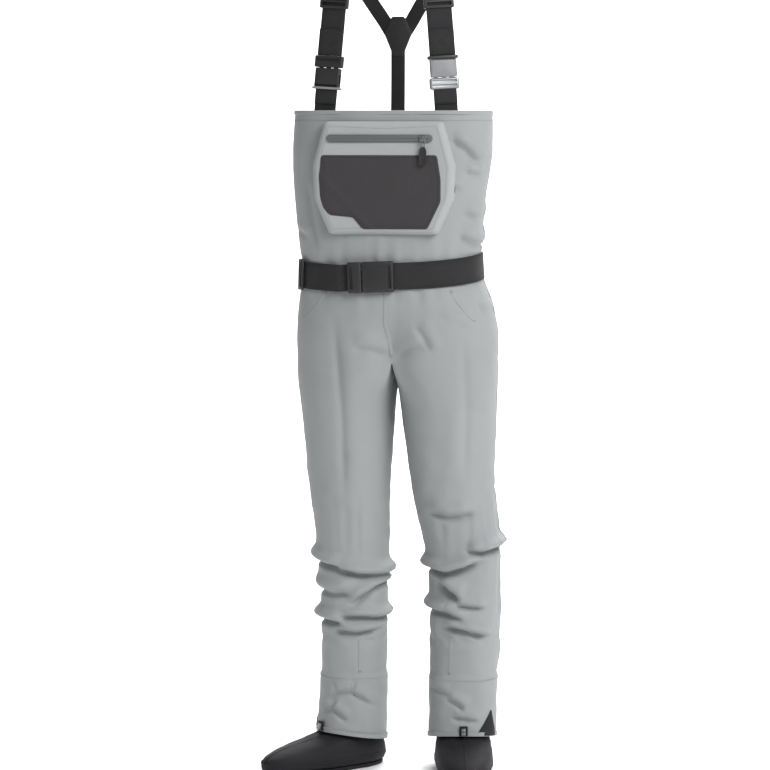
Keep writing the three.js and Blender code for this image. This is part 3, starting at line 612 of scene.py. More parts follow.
def garment_mesh():
    """The whole suit as one cloth: points, faces, pieces of the faces, corner uvs and rows' heights."""
    points, faces, kinds, uvs, heights = [], [], [], [], []
    count = round((BIB - CROTCH) / ROW_STEP)
    torso_rows = []
    for h in np.linspace(BIB, CROTCH, count + 1):
        ring = torso_ring(h)
        depth = section(TORSO, h)[3]
        dip = BACK_DIP * np.clip(ring[:, 1] / depth, 0, 1) ** 2 * max(0.0, (h - BELT) / (BIB - BELT))
        torso_rows.append(range(len(points), len(points) + len(ring)))
        for (x, y), d in zip(ring, dip):
            points.append((x, y, height(h) - d))
            heights.append(h)

    def add_rows(upper, lower, kind):
        n = len(upper)
        place = np.array([points[i] for i in upper] + [points[upper[0]]])
        run = np.concatenate([[0], np.cumsum(np.linalg.norm(np.diff(place, axis=0), axis=1))])
        for i in range(n):
            k = (i + 1) % n
            faces.append((upper[i], lower[i], lower[k], upper[k]))
            kinds.append(kind)
            v0, v1 = points[upper[i]][2], points[lower[i]][2]
            v2, v3 = points[lower[k]][2], points[upper[k]][2]
            uvs.extend([(run[i], v0), (run[i], v1), (run[i + 1], v2), (run[i + 1], v3)])

    for upper, lower in zip(torso_rows, torso_rows[1:]):
        add_rows(upper, lower, 0)
    last = list(torso_rows[-1])
    line, drop = crotch_line(torso_ring(CROTCH))
    crotch = range(len(points), len(points) + len(line))
    for (x, y), d in zip(line, drop):
        points.append((x, y, height(CROTCH) + d))
        heights.append(CROTCH)
    for side in SIDES:
        first = 1 if side == "left" else 4
        if side == "left":
            upper = last[: HALF_RING + 1] + list(crotch)
        else:
            upper = last[HALF_RING:] + last[:1] + list(crotch)[::-1]
        previous = CROTCH
        for h in leg_heights()[1:]:
            outside = 0.0030 * float(smooth((0.185 - h) / 0.008))
            ring, rows = leg_ring(side, h, outside)
            lower = list(range(len(points), len(points) + len(ring)))
            for (x, y), z in zip(ring, rows):
                points.append((x, y, height(z)))
                heights.append(h)
            middle = (h + previous) / 2
            add_rows(upper, lower, first + (middle < KNEE) + (middle < GUARD))
            upper, previous = lower, h
    return points, faces, kinds, uvs, np.array(heights)


def inner_body(side):
    """A closed leg a little inside the cloth, for the cloth to rest on while it settles."""
    points, faces = [], []
    rows = np.linspace(CROTCH + 0.02, 0.03, 60)
    for h in rows:
        ring = outline(LEGS[side], 2.3, min(max(h, 0.06), 0.78), 48, 0.0, -0.008)
        points += [(x, y, height(h)) for x, y in ring]
    for j in range(len(rows) - 1):
        for i in range(48):
            k = (i + 1) % 48
            faces.append((j * 48 + i, j * 48 + 48 + i, j * 48 + 48 + k, j * 48 + k))
    body = new_object(f"{side}_inner_body", points, faces)
    only(body)
    body.modifiers.new("Collision", "COLLISION")
    body.collision.thickness_outer = 0.002
    body.collision.cloth_friction = 12
    return body


def settle_cloth(obj, heights):
    """Lets the legs' spare length fall into folds. The bib, the hems and the smooth shins stay in place."""
    rest = points_of(obj).copy()
    hold = obj.vertex_groups.new(name="hold")
    slack = sizes().slack
    top = smooth((heights - 0.70) / 0.08)
    shin = smooth((heights - 0.135) / 0.02) * smooth((0.255 - heights) / 0.02) * 0.75
    hem = smooth((0.078 - heights) / 0.01)
    weights = np.clip(np.maximum(np.maximum(top, shin), hem), 0, 1)
    for index, weight in enumerate(weights):
        if weight > 0.001:
            hold.add([index], float(weight), "REPLACE")
    obj.shape_key_add(name="Basis")
    cut = obj.shape_key_add(name="Cut", from_mix=False)
    knee = smooth((heights - 0.25) / 0.03) * smooth((0.46 - heights) / 0.05)
    thigh = smooth((heights - 0.46) / 0.06) * smooth((0.70 - heights) / 0.08)
    ankle = smooth((heights - 0.075) / 0.01) * smooth((0.16 - heights) / 0.02)
    steps = np.linspace(0, BIB, 2000)
    rate = np.interp(
        steps,
        np.sort(heights),
        (slack * knee + 0.35 * slack * thigh + 0.9 * slack * ankle)[np.argsort(heights)],
    )
    gain = np.concatenate([[0], np.cumsum(rate[:-1] * np.diff(steps))])
    longer = rest.copy()
    longer[:, 2] += np.interp(rest[:, 2] - SOLE_Z, steps, gain)
    cut.data.foreach_set("co", longer.ravel())
    cut.value = 0
    bodies = [inner_body(side) for side in SIDES]
    only(obj)
    cloth = obj.modifiers.new("Cloth", "CLOTH")
    settings = cloth.settings
    settings.rest_shape_key = cut
    settings.vertex_group_mass = "hold"
    settings.quality = 6
    settings.mass = 0.25
    settings.tension_stiffness = 40
    settings.compression_stiffness = 40
    settings.shear_stiffness = 18
    settings.bending_stiffness = 1.6
    settings.tension_damping = 12
    settings.compression_damping = 12
    settings.shear_damping = 8
    settings.air_damping = 2
    settings.pin_stiffness = 6
    cloth.collision_settings.distance_min = 0.002
    cloth.collision_settings.collision_quality = 2
    cloth.collision_settings.use_self_collision = False
    scene = bpy.context.scene
    scene.frame_start, scene.frame_end = 1, 36
    cloth.point_cache.frame_start, cloth.point_cache.frame_end = 1, 36
    for number in range(1, 37):
        scene.frame_set(number)
    graph = bpy.context.evaluated_depsgraph_get()
    settled = np.array([v.co for v in obj.evaluated_get(graph).data.vertices])
    scene.frame_set(1)
    obj.modifiers.remove(cloth)
    obj.shape_key_clear()
    for body in bodies:
        mesh = body.data
        bpy.data.objects.remove(body)
        bpy.data.meshes.remove(mesh)
    move = settled - rest
    size = np.linalg.norm(move, axis=1)
    cap = 0.014
    move *= (cap * np.tanh(size / cap) / np.maximum(size, 1e-9))[:, None]
    set_points(obj, rest + move)


# ---- pressed folds: a face (front, back), points (x, height) along the fold, depth and half width ----
FOLDS = (
    ("front", ((-0.148, 1.131), (-0.140, 1.06), (-0.129, 0.996)), 0.0045, 0.008),
    ("front", ((0.122, 1.208), (0.150, 1.190), (0.176, 1.158)), 0.008, 0.007),
    ("front", ((0.150, 1.146), (0.180, 1.140)), 0.006, 0.006),
    ("front", ((0.120, 1.118), (0.146, 1.112)), 0.003, 0.005),
    ("front", ((0.148, 1.070), (0.174, 1.058)), 0.006, 0.006),
    ("front", ((0.138, 1.026), (0.178, 1.004)), 0.008, 0.007),
    ("front", ((-0.176, 1.040), (-0.150, 1.022)), 0.003, 0.006),
    ("front", ((0.060, 0.862), (0.078, 0.836), (0.092, 0.810)), 0.004, 0.007),
    ("front", ((0.108, 0.868), (0.165, 0.862)), 0.003, 0.007),
    ("front", ((0.022, 0.800), (0.050, 0.815), (0.085, 0.822)), 0.004, 0.009),
    ("front", ((0.008, 0.800), (-0.024, 0.812), (-0.060, 0.816)), 0.004, 0.009),
    ("front", ((0.176, 0.900), (0.186, 0.880)), 0.003, 0.006),
    ("front", ((-0.094, 0.880), (-0.080, 0.700), (-0.078, 0.520)), 0.0034, 0.010),
    ("front", ((0.150, 0.840), (0.156, 0.700), (0.150, 0.560)), 0.0030, 0.010),
    ("front", ((-0.176, 0.412), (-0.112, 0.394), (-0.084, 0.393)), 0.009, 0.007),
    ("front", ((-0.106, 0.391), (-0.050, 0.378), (0.038, 0.372)), 0.010, 0.007),
    ("front", ((0.036, 0.372), (-0.020, 0.352), (-0.070, 0.318)), 0.008, 0.007),
    ("front", ((-0.170, 0.350), (-0.110, 0.340), (-0.060, 0.342)), 0.006, 0.008),
    ("front", ((-0.094, 0.296), (-0.050, 0.296), (0.030, 0.284)), 0.008, 0.006),
    ("front", ((-0.176, 0.290), (-0.112, 0.284), (-0.080, 0.281)), 0.010, 0.007),
    ("front", ((-0.104, 0.270), (-0.060, 0.264), (-0.010, 0.270)), 0.007, 0.006),
    ("front", ((-0.120, 0.128), (-0.096, 0.146), (-0.070, 0.150), (-0.022, 0.120)), 0.005, 0.006),
    ("front", ((-0.132, 0.104), (-0.108, 0.116), (-0.076, 0.092)), 0.005, 0.006),
    ("front", ((0.076, 0.505), (0.120, 0.494), (0.176, 0.500)), 0.006, 0.009),
    ("front", ((0.150, 0.430), (0.184, 0.424), (0.236, 0.432)), 0.010, 0.007),
    ("front", ((0.040, 0.396), (0.113, 0.383), (0.150, 0.394), (0.188, 0.412)), 0.011, 0.007),
    ("front", ((0.092, 0.368), (0.116, 0.348), (0.142, 0.332)), 0.009, 0.009),
    ("front", ((0.128, 0.324), (0.156, 0.320), (0.190, 0.316)), 0.006, 0.006),
    ("front", ((0.040, 0.310), (0.110, 0.306), (0.156, 0.291)), 0.008, 0.007),
    ("front", ((0.104, 0.282), (0.150, 0.272), (0.196, 0.259)), 0.008, 0.007),
    ("front", ((0.076, 0.160), (0.098, 0.153), (0.122, 0.147)), 0.0034, 0.006),
    ("front", ((0.112, 0.142), (0.130, 0.134), (0.150, 0.119)), 0.005, 0.006),
    ("front", ((0.122, 0.104), (0.150, 0.101), (0.178, 0.096)), 0.005, 0.006),
    ("back", ((0.070, 0.520), (0.110, 0.508), (0.160, 0.514)), 0.004, 0.009),
    ("back", ((0.078, 0.470), (0.130, 0.456), (0.196, 0.468)), 0.0055, 0.010),
    ("back", ((0.090, 0.424), (0.140, 0.408), (0.190, 0.420)), 0.005, 0.009),
    ("back", ((0.096, 0.372), (0.140, 0.350), (0.186, 0.340)), 0.008, 0.008),
    ("back", ((0.088, 0.300), (0.140, 0.312), (0.190, 0.296)), 0.007, 0.007),
    ("back", ((0.100, 0.268), (0.150, 0.276), (0.186, 0.262)), 0.006, 0.006),
    ("back", ((-0.016, 0.516), (-0.070, 0.506), (-0.120, 0.518)), 0.004, 0.009),
    ("back", ((-0.010, 0.466), (-0.070, 0.454), (-0.130, 0.470)), 0.0055, 0.010),
    ("back", ((-0.018, 0.424), (-0.070, 0.412), (-0.124, 0.428)), 0.005, 0.009),
    ("back", ((-0.014, 0.350), (-0.060, 0.366), (-0.120, 0.344)), 0.008, 0.008),
    ("back", ((-0.024, 0.296), (-0.080, 0.306), (-0.126, 0.290)), 0.007, 0.007),
    ("back", ((0.020, 0.806), (0.070, 0.786), (0.130, 0.790)), 0.006, 0.010),
    ("back", ((0.006, 0.804), (-0.050, 0.784), (-0.110, 0.792)), 0.006, 0.010),
    ("back", ((0.060, 0.880), (0.120, 0.900), (0.160, 0.905)), 0.004, 0.009),
    ("back", ((-0.050, 0.884), (-0.110, 0.902), (-0.150, 0.904)), 0.004, 0.009),
    ("back", ((-0.120, 1.130), (-0.070, 1.080), (-0.030, 1.060)), 0.003, 0.010),
    ("back", ((0.130, 1.120), (0.080, 1.084), (0.034, 1.066)), 0.003, 0.010),
)


def press_folds(co, normals):
    """Each fold is a valley with a low ridge above it, fading at both ends."""
    x, z = co[:, 0], co[:, 2] - SOLE_Z
    shift = np.zeros(len(co))
    for face, line, depth, width in FOLDS:
        facing = smooth((-normals[:, 1] if face == "front" else normals[:, 1]) * 1.8 + 0.85)
        line = np.array(line)
        lengths = np.linalg.norm(np.diff(line, axis=0), axis=1)
        total, done = lengths.sum(), 0.0
        best = np.full(len(co), 1e9)
        signed = np.zeros(len(co))
        along = np.zeros(len(co))
        for (a, b), length in zip(zip(line, line[1:]), lengths):
            d = (b - a) / length
            px, pz = x - a[0], z - a[1]
            t = px * d[0] + pz * d[1]
            across = pz * d[0] - px * d[1]
            if d[0] < 0:
                across = -across
            outside = np.maximum(np.maximum(-t, t - length), 0)
            distance = np.hypot(across, outside)
            nearer = distance < best
            best = np.where(nearer, distance, best)
            signed = np.where(nearer, across, signed)
            along = np.where(nearer, done + np.clip(t, 0, length), along)
            done += length
        end = np.where(best > np.abs(signed) + 1e-6, np.sqrt(np.maximum(best**2 - signed**2, 0)), 0.0)
        taper = smooth(
            np.minimum(along, total - along) / (0.3 * total) + 0.15
        ) * np.exp(-((end / width) ** 2))
        valley = np.exp(-((signed / (0.72 * width)) ** 2))
        ridge = np.exp(-(((signed - 2.2 * width) / (1.6 * width)) ** 2))
        shift += facing * taper * depth * (0.85 * ridge - 1.1 * valley)
    share = 1.0 + 0.65 * smooth((0.56 - z) / 0.06) * smooth((z - 0.17) / 0.05)
    return np.clip(share * shift * sizes().fold_depth, -0.016, 0.014)


def cloth_noise(co):
    """Soft unevenness of worn cloth: long in the bib and hips, shorter below the knees."""
    shift = np.zeros(len(co))
    for i, (x, y, z) in enumerate(co):
        h = z - SOLE_Z
        low = 1.0 if h < 0.5 else max(0.0, 1 - (h - 0.5) / 0.2)
        slow = noise.noise(Vector((x * 11, y * 11, z * 7)))
        fine = noise.noise(Vector((x * 34, y * 34, z * 38 + 5)))
        shift[i] = 0.0022 * slow + (0.0006 + 0.0011 * low) * fine
    return shift


SUIT = {}


def vertex_normals(obj):
    normals = np.zeros(len(obj.data.vertices) * 3)
    obj.data.vertices.foreach_get("normal", normals)
    return normals.reshape(-1, 3)


def split_suit(obj):
    """Cuts the finished cloth into its pieces, each with its thickness and the whole cloth's own shading."""
    mesh = obj.data
    co, normals = points_of(obj), vertex_normals(obj)
    kinds = np.zeros(len(mesh.polygons), np.int32)
    mesh.polygons.foreach_get("material_index", kinds)
    corners = np.zeros(len(mesh.loops), np.int32)
    mesh.loops.foreach_get("vertex_index", corners)
    corners = corners.reshape(-1, 4)
    uvs = np.zeros(len(mesh.loops) * 2)
    mesh.uv_layers[0].data.foreach_get("uv", uvs)
    uvs = uvs.reshape(-1, 4, 2)
    made = {}
    for kind, name in enumerate(PIECES):
        quads, quad_uvs = corners[kinds == kind], uvs[kinds == kind]
        used, packed = np.unique(quads, return_inverse=True)
        quads = packed.reshape(-1, 4)
        made[name] = thick_piece(name, co[used], normals[used], quads, quad_uvs, sizes().cloth)
    return made


def thick_piece(name, outer, normals, quads, quad_uvs, thickness, look="cloth"):
    """A closed sheet from its outer face: the same face again inside, and a rim along every free edge."""
    count = len(outer)
    points = np.concatenate([outer, outer - normals * thickness])
    edges = {}
    for quad in quads.tolist():
        for a, b in zip(quad, quad[1:] + quad[:1]):
            edges[(a, b)] = edges.get((a, b), 0) + 1
    rim = [(a, b) for a, b in edges if (b, a) not in edges]
    faces = quads.tolist() + (quads[:, ::-1] + count).tolist()
    faces += [(b, a, a + count, b + count) for a, b in rim]
    place = {}
    for quad, corner_uvs in zip(quads.tolist(), quad_uvs):
        for v, uv in zip(quad, corner_uvs):
            place.setdefault(v, uv)
    rim_uvs = [[place[b], place[a], place[a], place[b]] for a, b in rim]
    all_uvs = np.concatenate([quad_uvs, quad_uvs[:, ::-1], np.array(rim_uvs).reshape(-1, 4, 2)])
    obj = new_object(name, points, faces, look=look)
    layer = obj.data.uv_layers.new(name="UVMap")
    layer.data.foreach_set("uv", all_uvs.astype(np.float32).ravel())
    obj.data.normals_split_custom_set_from_vertices(np.concatenate([normals, -normals]).tolist())
    return obj


# ---- swept webbing and stitches ----
def spline(points, step=0.004):
    """A smooth line through points, with one every step or so."""
    points = np.array(points, float)
    padded = np.concatenate([[2 * points[0] - points[1]], points, [2 * points[-1] - points[-2]]])
    out = []
    for k in range(1, len(padded) - 2):
        p0, p1, p2, p3 = padded[k - 1 : k + 3]
        count = max(2, int(np.linalg.norm(p2[:3] - p1[:3]) / step))
        for t in np.arange(count) / count:
            out.append(
                0.5 * ((2 * p1) + (p2 - p0) * t + (2 * p0 - 5 * p1 + 4 * p2 - p3) * t * t
                       + (3 * p1 - p0 - 3 * p2 + p3) * t**3)
            )
    out.append(points[-1])
    return np.array(out)


def webbing(name, stations, width, thickness=None, look="webbing", step=0.004):
    """A strap through stations of (point, width direction, outward direction), with soft edges."""
    thickness = thickness or sizes().webbing
    lines = spline([[*at, *across, *out] for at, across, out in stations], step)
    half, t = width / 2, thickness / 2
    profile = [(-half + 0.8 * t, -t), (-half / 2, -t), (0, -t), (half / 2, -t), (half - 0.8 * t, -t), (half,
        -0.4 * t),
               (half, 0.4 * t), (half - 0.8 * t, t), (half / 2, t), (0, t), (-half / 2, t), (-half + 0.8 * t,
               t),
               (-half, 0.4 * t), (-half, -0.4 * t)]
    n = len(profile)
    points, uvs, run = [], [], 0.0
    previous = None
    for row in lines:
        at, across, out = Vector(row[:3]), Vector(row[3:6]).normalized(), Vector(row[6:9])
        out = (out - across * out.dot(across)).normalized()
        run += (at - previous).length if previous else 0.0
        previous = at
        for u, v in profile:
            points.append(at + across * u + out * v)
            uvs.append((u + v, run))
    faces = []
    turn = Vector(lines[1][:3] - lines[0][:3]).dot(Vector(lines[0][3:6]).cross(Vector(lines[0][6:9]))) > 0
    for j in range(len(lines) - 1):
        for i in range(n):
            k = (i + 1) % n
            quad = (j * n + i, j * n + k, (j + 1) * n + k, (j + 1) * n + i)
            faces.append(quad if turn else quad[::-1])
    caps = [tuple(range(n))[::-1], tuple(range((len(lines) - 1) * n, len(lines) * n))]
    faces += [cap if turn else cap[::-1] for cap in caps]
    return new_object(name, points, faces, uvs, look)


def stitches(name, rows, look="thread", length=None, radius=0.00045):
    """Short raised threads along each row of (point, outward direction)."""
    length = length or sizes().stitch
    points, faces = [], []
    for row in rows:
        line = spline([[*at, *out] for at, out in row], 0.002)
        run = np.concatenate([[0], np.cumsum(np.linalg.norm(np.diff(line[:, :3], axis=0), axis=1))])
        for start in np.arange(0.0, run[-1] - length * 0.75, length):
            ends = [
                np.array([np.interp(start + s, run, line[:, c]) for c in range(6)])
                for s in (0, length * 0.72)
            ]
            a, b = Vector(ends[0][:3]), Vector(ends[1][:3])
            out = Vector(ends[0][3:]).normalized()
            side = (b - a).cross(out).normalized() * radius
            middle = (a + b) / 2 + out * radius * 1.5
            base = len(points)
            points += [
                a, middle + side, b, middle - side, middle + out * radius * 0.6, middle - out * radius * 2.2
            ]
            for p, q in ((0, 1), (1, 2), (2, 3), (3, 0)):
                faces += [(base + p, base + q, base + 4), (base + q, base + p, base + 5)]
    obj = new_object(name, points, faces, [(p[0], p[2]) for p in points], look)
    return obj


def welt(name, line, width=0.005, lift=0.0006, look="cloth", step=0.006):
    """A flat seam on the suit, along a line of (point, outward direction)."""
    stations = []
    for k, (at, out) in enumerate(line):
        ahead = Vector(line[min(k + 1, len(line) - 1)][0]) - Vector(line[max(k - 1, 0)][0])
        across = ahead.cross(Vector(out)).normalized()
        stations.append((Vector(at) + Vector(out) * lift * 0.3, across, out))
    return webbing(name, stations, width, lift * 2, look, step)


def on_suit(origin, direction):
    """Where a straight line first meets the outside of the suit, and which way the cloth faces there."""
    hit, normal, _, _ = SUIT["tree"].ray_cast(Vector(origin), Vector(direction).normalized())
    if hit is None:
        raise ValueError(f"no cloth at {origin}")
    if normal.dot(Vector(direction)) > 0:
        normal = -normal
    return hit, normal


def front_line(places, direction=(0, 1, 0)):
    """Points of the suit's front (or, looking along -Y, its back) at a list of (x, height)."""
    far = Vector(direction) * -0.6
    return [on_suit(Vector((x, 0, height(h))) + far, direction) for x, h in places]


# ---- hard pieces, shaped in edit mode ----
def block(name, low, high, look, bevel=0.0008, segments=2):
    """A box between two corners with rounded edges."""
    low, high = Vector(low), Vector(high)
    bpy.ops.object.select_all(action="DESELECT")
    bpy.ops.mesh.primitive_cube_add(size=1, location=(0, 0, 0))
    obj = bpy.context.object
    obj.name = name
    bpy.ops.object.mode_set(mode="EDIT")
    bpy.ops.mesh.select_all(action="SELECT")
    bpy.ops.transform.resize(value=high - low, center_override=(0, 0, 0))
    bpy.ops.transform.translate(value=(low + high) / 2)
    if bevel:
        bpy.ops.mesh.bevel(offset=bevel, segments=segments, affect="EDGES")
    bpy.ops.object.mode_set(mode="OBJECT")
    obj.data.materials.append(material(look))
    return obj


def cut_away(obj, *others):
    """Cuts other objects out of obj and removes them."""
    for other in others:
        modify(obj, "BOOLEAN", operation="DIFFERENCE", solver="EXACT", object=other)
        mesh = other.data
        bpy.data.objects.remove(other)
        bpy.data.meshes.remove(mesh)
    return obj


def add_to(obj, *others):
    """Joins closed shells into one object."""
    only(obj)
    for other in others:
        other.select_set(True)
    bpy.ops.object.join()
    return obj


def raised_panel(obj, normal, inset, lift):
    """Insets the largest face that looks along normal, and raises or sinks it."""
    only(obj)
    mesh = obj.data
    faces = [p for p in mesh.polygons if p.normal.dot(Vector(normal)) > 0.98]
    target = max(faces, key=lambda p: p.area).index
    bpy.ops.object.mode_set(mode="EDIT")
    bpy.ops.mesh.select_mode(type="FACE")
    bpy.ops.mesh.select_all(action="DESELECT")
    bpy.ops.object.mode_set(mode="OBJECT")
    mesh.polygons[target].select = True
    bpy.ops.object.mode_set(mode="EDIT")
    bpy.ops.mesh.inset(thickness=inset)
    bpy.ops.transform.translate(value=Vector(normal) * lift)
    bpy.ops.object.mode_set(mode="OBJECT")
    return obj


def rod(name, start, end, radius, look, sides=16):
    """A round bar between two points with softened ends."""
    start, end = Vector(start), Vector(end)
    bpy.ops.object.select_all(action="DESELECT")
    bpy.ops.mesh.primitive_cylinder_add(vertices=sides, radius=radius, depth=(end - start).length)
    obj = bpy.context.object
    obj.name = name
    bpy.ops.object.mode_set(mode="EDIT")
    bpy.ops.mesh.select_all(action="DESELECT")
    bpy.ops.mesh.select_mode(type="FACE")
    bpy.ops.object.mode_set(mode="OBJECT")
    for polygon in obj.data.polygons:
        polygon.select = abs(polygon.normal.z) > 0.9
    bpy.ops.object.mode_set(mode="EDIT")
    bpy.ops.mesh.bevel(offset=radius * 0.3, segments=2, affect="EDGES")
    bpy.ops.object.mode_set(mode="OBJECT")
    turn = (end - start).to_track_quat("Z", "Y").to_matrix().to_4x4()
    obj.data.transform(Matrix.Translation((start + end) / 2) @ turn)
    obj.data.materials.append(material(look))
    return obj


def place(obj, matrix, angle=35):
    """Moves a finished piece from its own frame into place, in its mesh."""
    obj.data.transform(matrix)
    obj.data.update()
    return smooth_edges(obj, angle)


def slab(name, points, back, front, look, bevel=0.0006, segments=2):
    """A plate from an outline of (x, z), running from y = back to y = front, with rounded edges."""
    bpy.ops.object.select_all(action="DESELECT")
    bpy.ops.mesh.primitive_circle_add(vertices=len(points), radius=0.1, fill_type="NGON")
    obj = bpy.context.object
    obj.name = name
    for vertex, (x, z) in zip(obj.data.vertices, points):
        vertex.co = (x, back, z)
    bpy.ops.object.mode_set(mode="EDIT")
    bpy.ops.mesh.select_all(action="SELECT")
    bpy.ops.mesh.extrude_region_move(TRANSFORM_OT_translate={"value": (0, front - back, 0)})
    bpy.ops.mesh.select_all(action="SELECT")
    bpy.ops.mesh.normals_make_consistent(inside=False)
    bpy.ops.object.mode_set(mode="OBJECT")
    if bevel:
        modify(
            obj, "BEVEL", width=bevel, segments=segments, limit_method="ANGLE", angle_limit=math.radians(50)
        )
    obj.data.materials.append(material(look))
    return obj


def rounded(points, radius, steps=5):
    """The outline with each corner rounded."""
    out = []
    n = len(points)
    for k in range(n):
        p, a, b = (Vector(points[i % n]) for i in (k, k - 1, k + 1))
        r = min(radius, (a - p).length * 0.45, (b - p).length * 0.45)
        start, end = p + (a - p).normalized() * r, p + (b - p).normalized() * r
        for t in np.linspace(0, 1, steps + 1):
            q = start * (1 - t) ** 2 + p * 2 * t * (1 - t) + end * t * t
            out.append((q.x, q.y))
    return out


def resampled(points, count):
    line = np.array(list(points) + [points[0]])
    run = np.concatenate([[0], np.cumsum(np.linalg.norm(np.diff(line, axis=0), axis=1))])
    places = np.linspace(0, run[-1], count + 1)[:-1]
    return np.stack([np.interp(places, run, line[:, c]) for c in (0, 1)], 1)


def cloth_panel(name, points, front, rings, look, count=200, inner=26):
    """A soft raised panel. rings are (inset share, depth behind the front) from its sewn edge to its face,
    and front gives the face's y at (x, z)."""
    edge = resampled(points, count)
    centre = edge.mean(axis=0)
    inward = centre - edge
    inward /= np.linalg.norm(inward, axis=1)[:, None]
    rows = []
    for inset, behind in rings:
        flat = edge + inward * inset
        rows.append((flat, behind))
    face_edge = rows[-1][0]
    for k in range(1, inner):
        rows.append((face_edge + (centre - face_edge) * (k / inner), 0.0))
    points3, faces = [], []
    for flat, behind in rows:
        for x, z in flat:
            y = behind(x, z) if callable(behind) else front(x, z) + behind
            points3.append((x, y, z))
    for j in range(len(rows) - 1):
        for i in range(count):
            k = (i + 1) % count
            faces.append((j * count + i, j * count + k, (j + 1) * count + k, (j + 1) * count + i))
    last = (len(rows) - 1) * count
    points3.append((centre[0], front(*centre), centre[1]))
    for i in range(count):
        faces.append((last + i, last + (i + 1) % count, len(points3) - 1))
    faces.append(tuple(range(count))[::-1])
    obj = new_object(name, points3, faces, [(p[0], p[2]) for p in points3], look)
    return outward(obj)


def outward(obj):
    only(obj)
    bpy.ops.object.mode_set(mode="EDIT")
    bpy.ops.mesh.select_all(action="SELECT")
    bpy.ops.mesh.normals_make_consistent(inside=False)
    bpy.ops.object.mode_set(mode="OBJECT")
    return obj


class WADERS_OT_suit(bpy.types.Operator):
    """Bib, hips, legs and gravel guards: one cloth, settled, pressed into folds and cut into its pieces"""

    bl_idname = "waders.suit"
    bl_label = "Suit cloth"

    def execute(self, context):
        points, faces, kinds, uvs, heights = garment_mesh()
        obj = new_object("suit", points, faces)
        obj.data.polygons.foreach_set("material_index", kinds)
        layer = obj.data.uv_layers.new(name="UVMap")
        layer.data.foreach_set("uv", np.array(uvs, np.float32).ravel())
        settle_cloth(obj, heights)
        for _ in range(6):
            obj.data.materials.append(material("cloth"))
        modify(obj, "SUBSURF", levels=1, render_levels=1)
        co, normals = points_of(obj), vertex_normals(obj)
        shift = press_folds(co, normals) + cloth_noise(co) + waist_pleats(co)
        set_points(obj, co + normals * shift[:, None])
        mesh = bmesh.new()
        mesh.from_mesh(obj.data)
        SUIT["tree"] = BVHTree.FromBMesh(mesh)
        mesh.free()
        made = split_suit(obj)
        old = obj.data
        bpy.data.objects.remove(obj)
        bpy.data.meshes.remove(old)
        finish_piece(
            made["body"],
            "root",
            ("bib_front", "bib_back", "hip_front", "hip_back", "crotch_gusset"),
        )
        for side in SIDES:
            upper, lower, guard = (made[f"{side}_{part}"] for part in ("upper_leg", "lower_leg", "guard"))
            thigh = [f"{side}_{part}" for part in ("hip_section", "thigh_front", "thigh_back")]
            shin = [f"{side}_{part}" for part in ("knee_section", "shin_front", "shin_back")]
            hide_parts(*thigh)
            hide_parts(*shin)
            bend_hip(upper, side)
            bend_knee(lower, side)
            finish_piece(guard, f"{side}_shin", (f"{side}_gravel_guard",))
        return {"FINISHED"}


def bend_hip(obj, side):
    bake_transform(obj)


def bend_knee(obj, side):
    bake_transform(obj)


def waist_pleats(co):
    """The belt draws the cloth in and leaves short upright pleats above and below."""
    shift = np.zeros(len(co))
    for i, (x, y, z) in enumerate(co):
        h = z - SOLE_Z
        if 0.80 < h < 1.06:
            middle = belt_middle(x, y)
            away = abs(h - middle) - 0.0254
            turn = math.atan2(y, x)
            wave = noise.noise(Vector((math.cos(turn) * 7, math.sin(turn) * 7, 3 + (h > middle) * 4)))
            if away < 0:
                shift[i] = -0.0016
            else:
                shift[i] = -0.0016 * math.exp(-((away / 0.008) ** 2)) + 0.0042 * wave * math.exp(-away / 0.03)
    return shift


# ---- belt ----
def belt_middle(x, y):
    """Height of the belt's middle line: it rises towards the left side and droops at the front."""
    return BELT + 0.009 + 0.0065 * x / 0.171 - 0.009 * max(0.0, -y / 0.114) ** 2


def belt_station(angle, offset, drop=0.0):
    power = 2 / 2.8
    c, s = math.cos(angle), math.sin(angle)

    def at(h):
        cx, cy, a, b = section(TORSO, h)
        x = cx + (a + offset) * math.copysign(abs(c) ** power, c)
        y = cy + (b + offset) * math.copysign(abs(s) ** power, s)
        return Vector((x, y, height(h)))

    flat = at(BELT)
    h = belt_middle(flat.x, flat.y) + drop
    centre, up = at(h), at(h + 0.02) - at(h - 0.02)
    return centre, up.normalized()


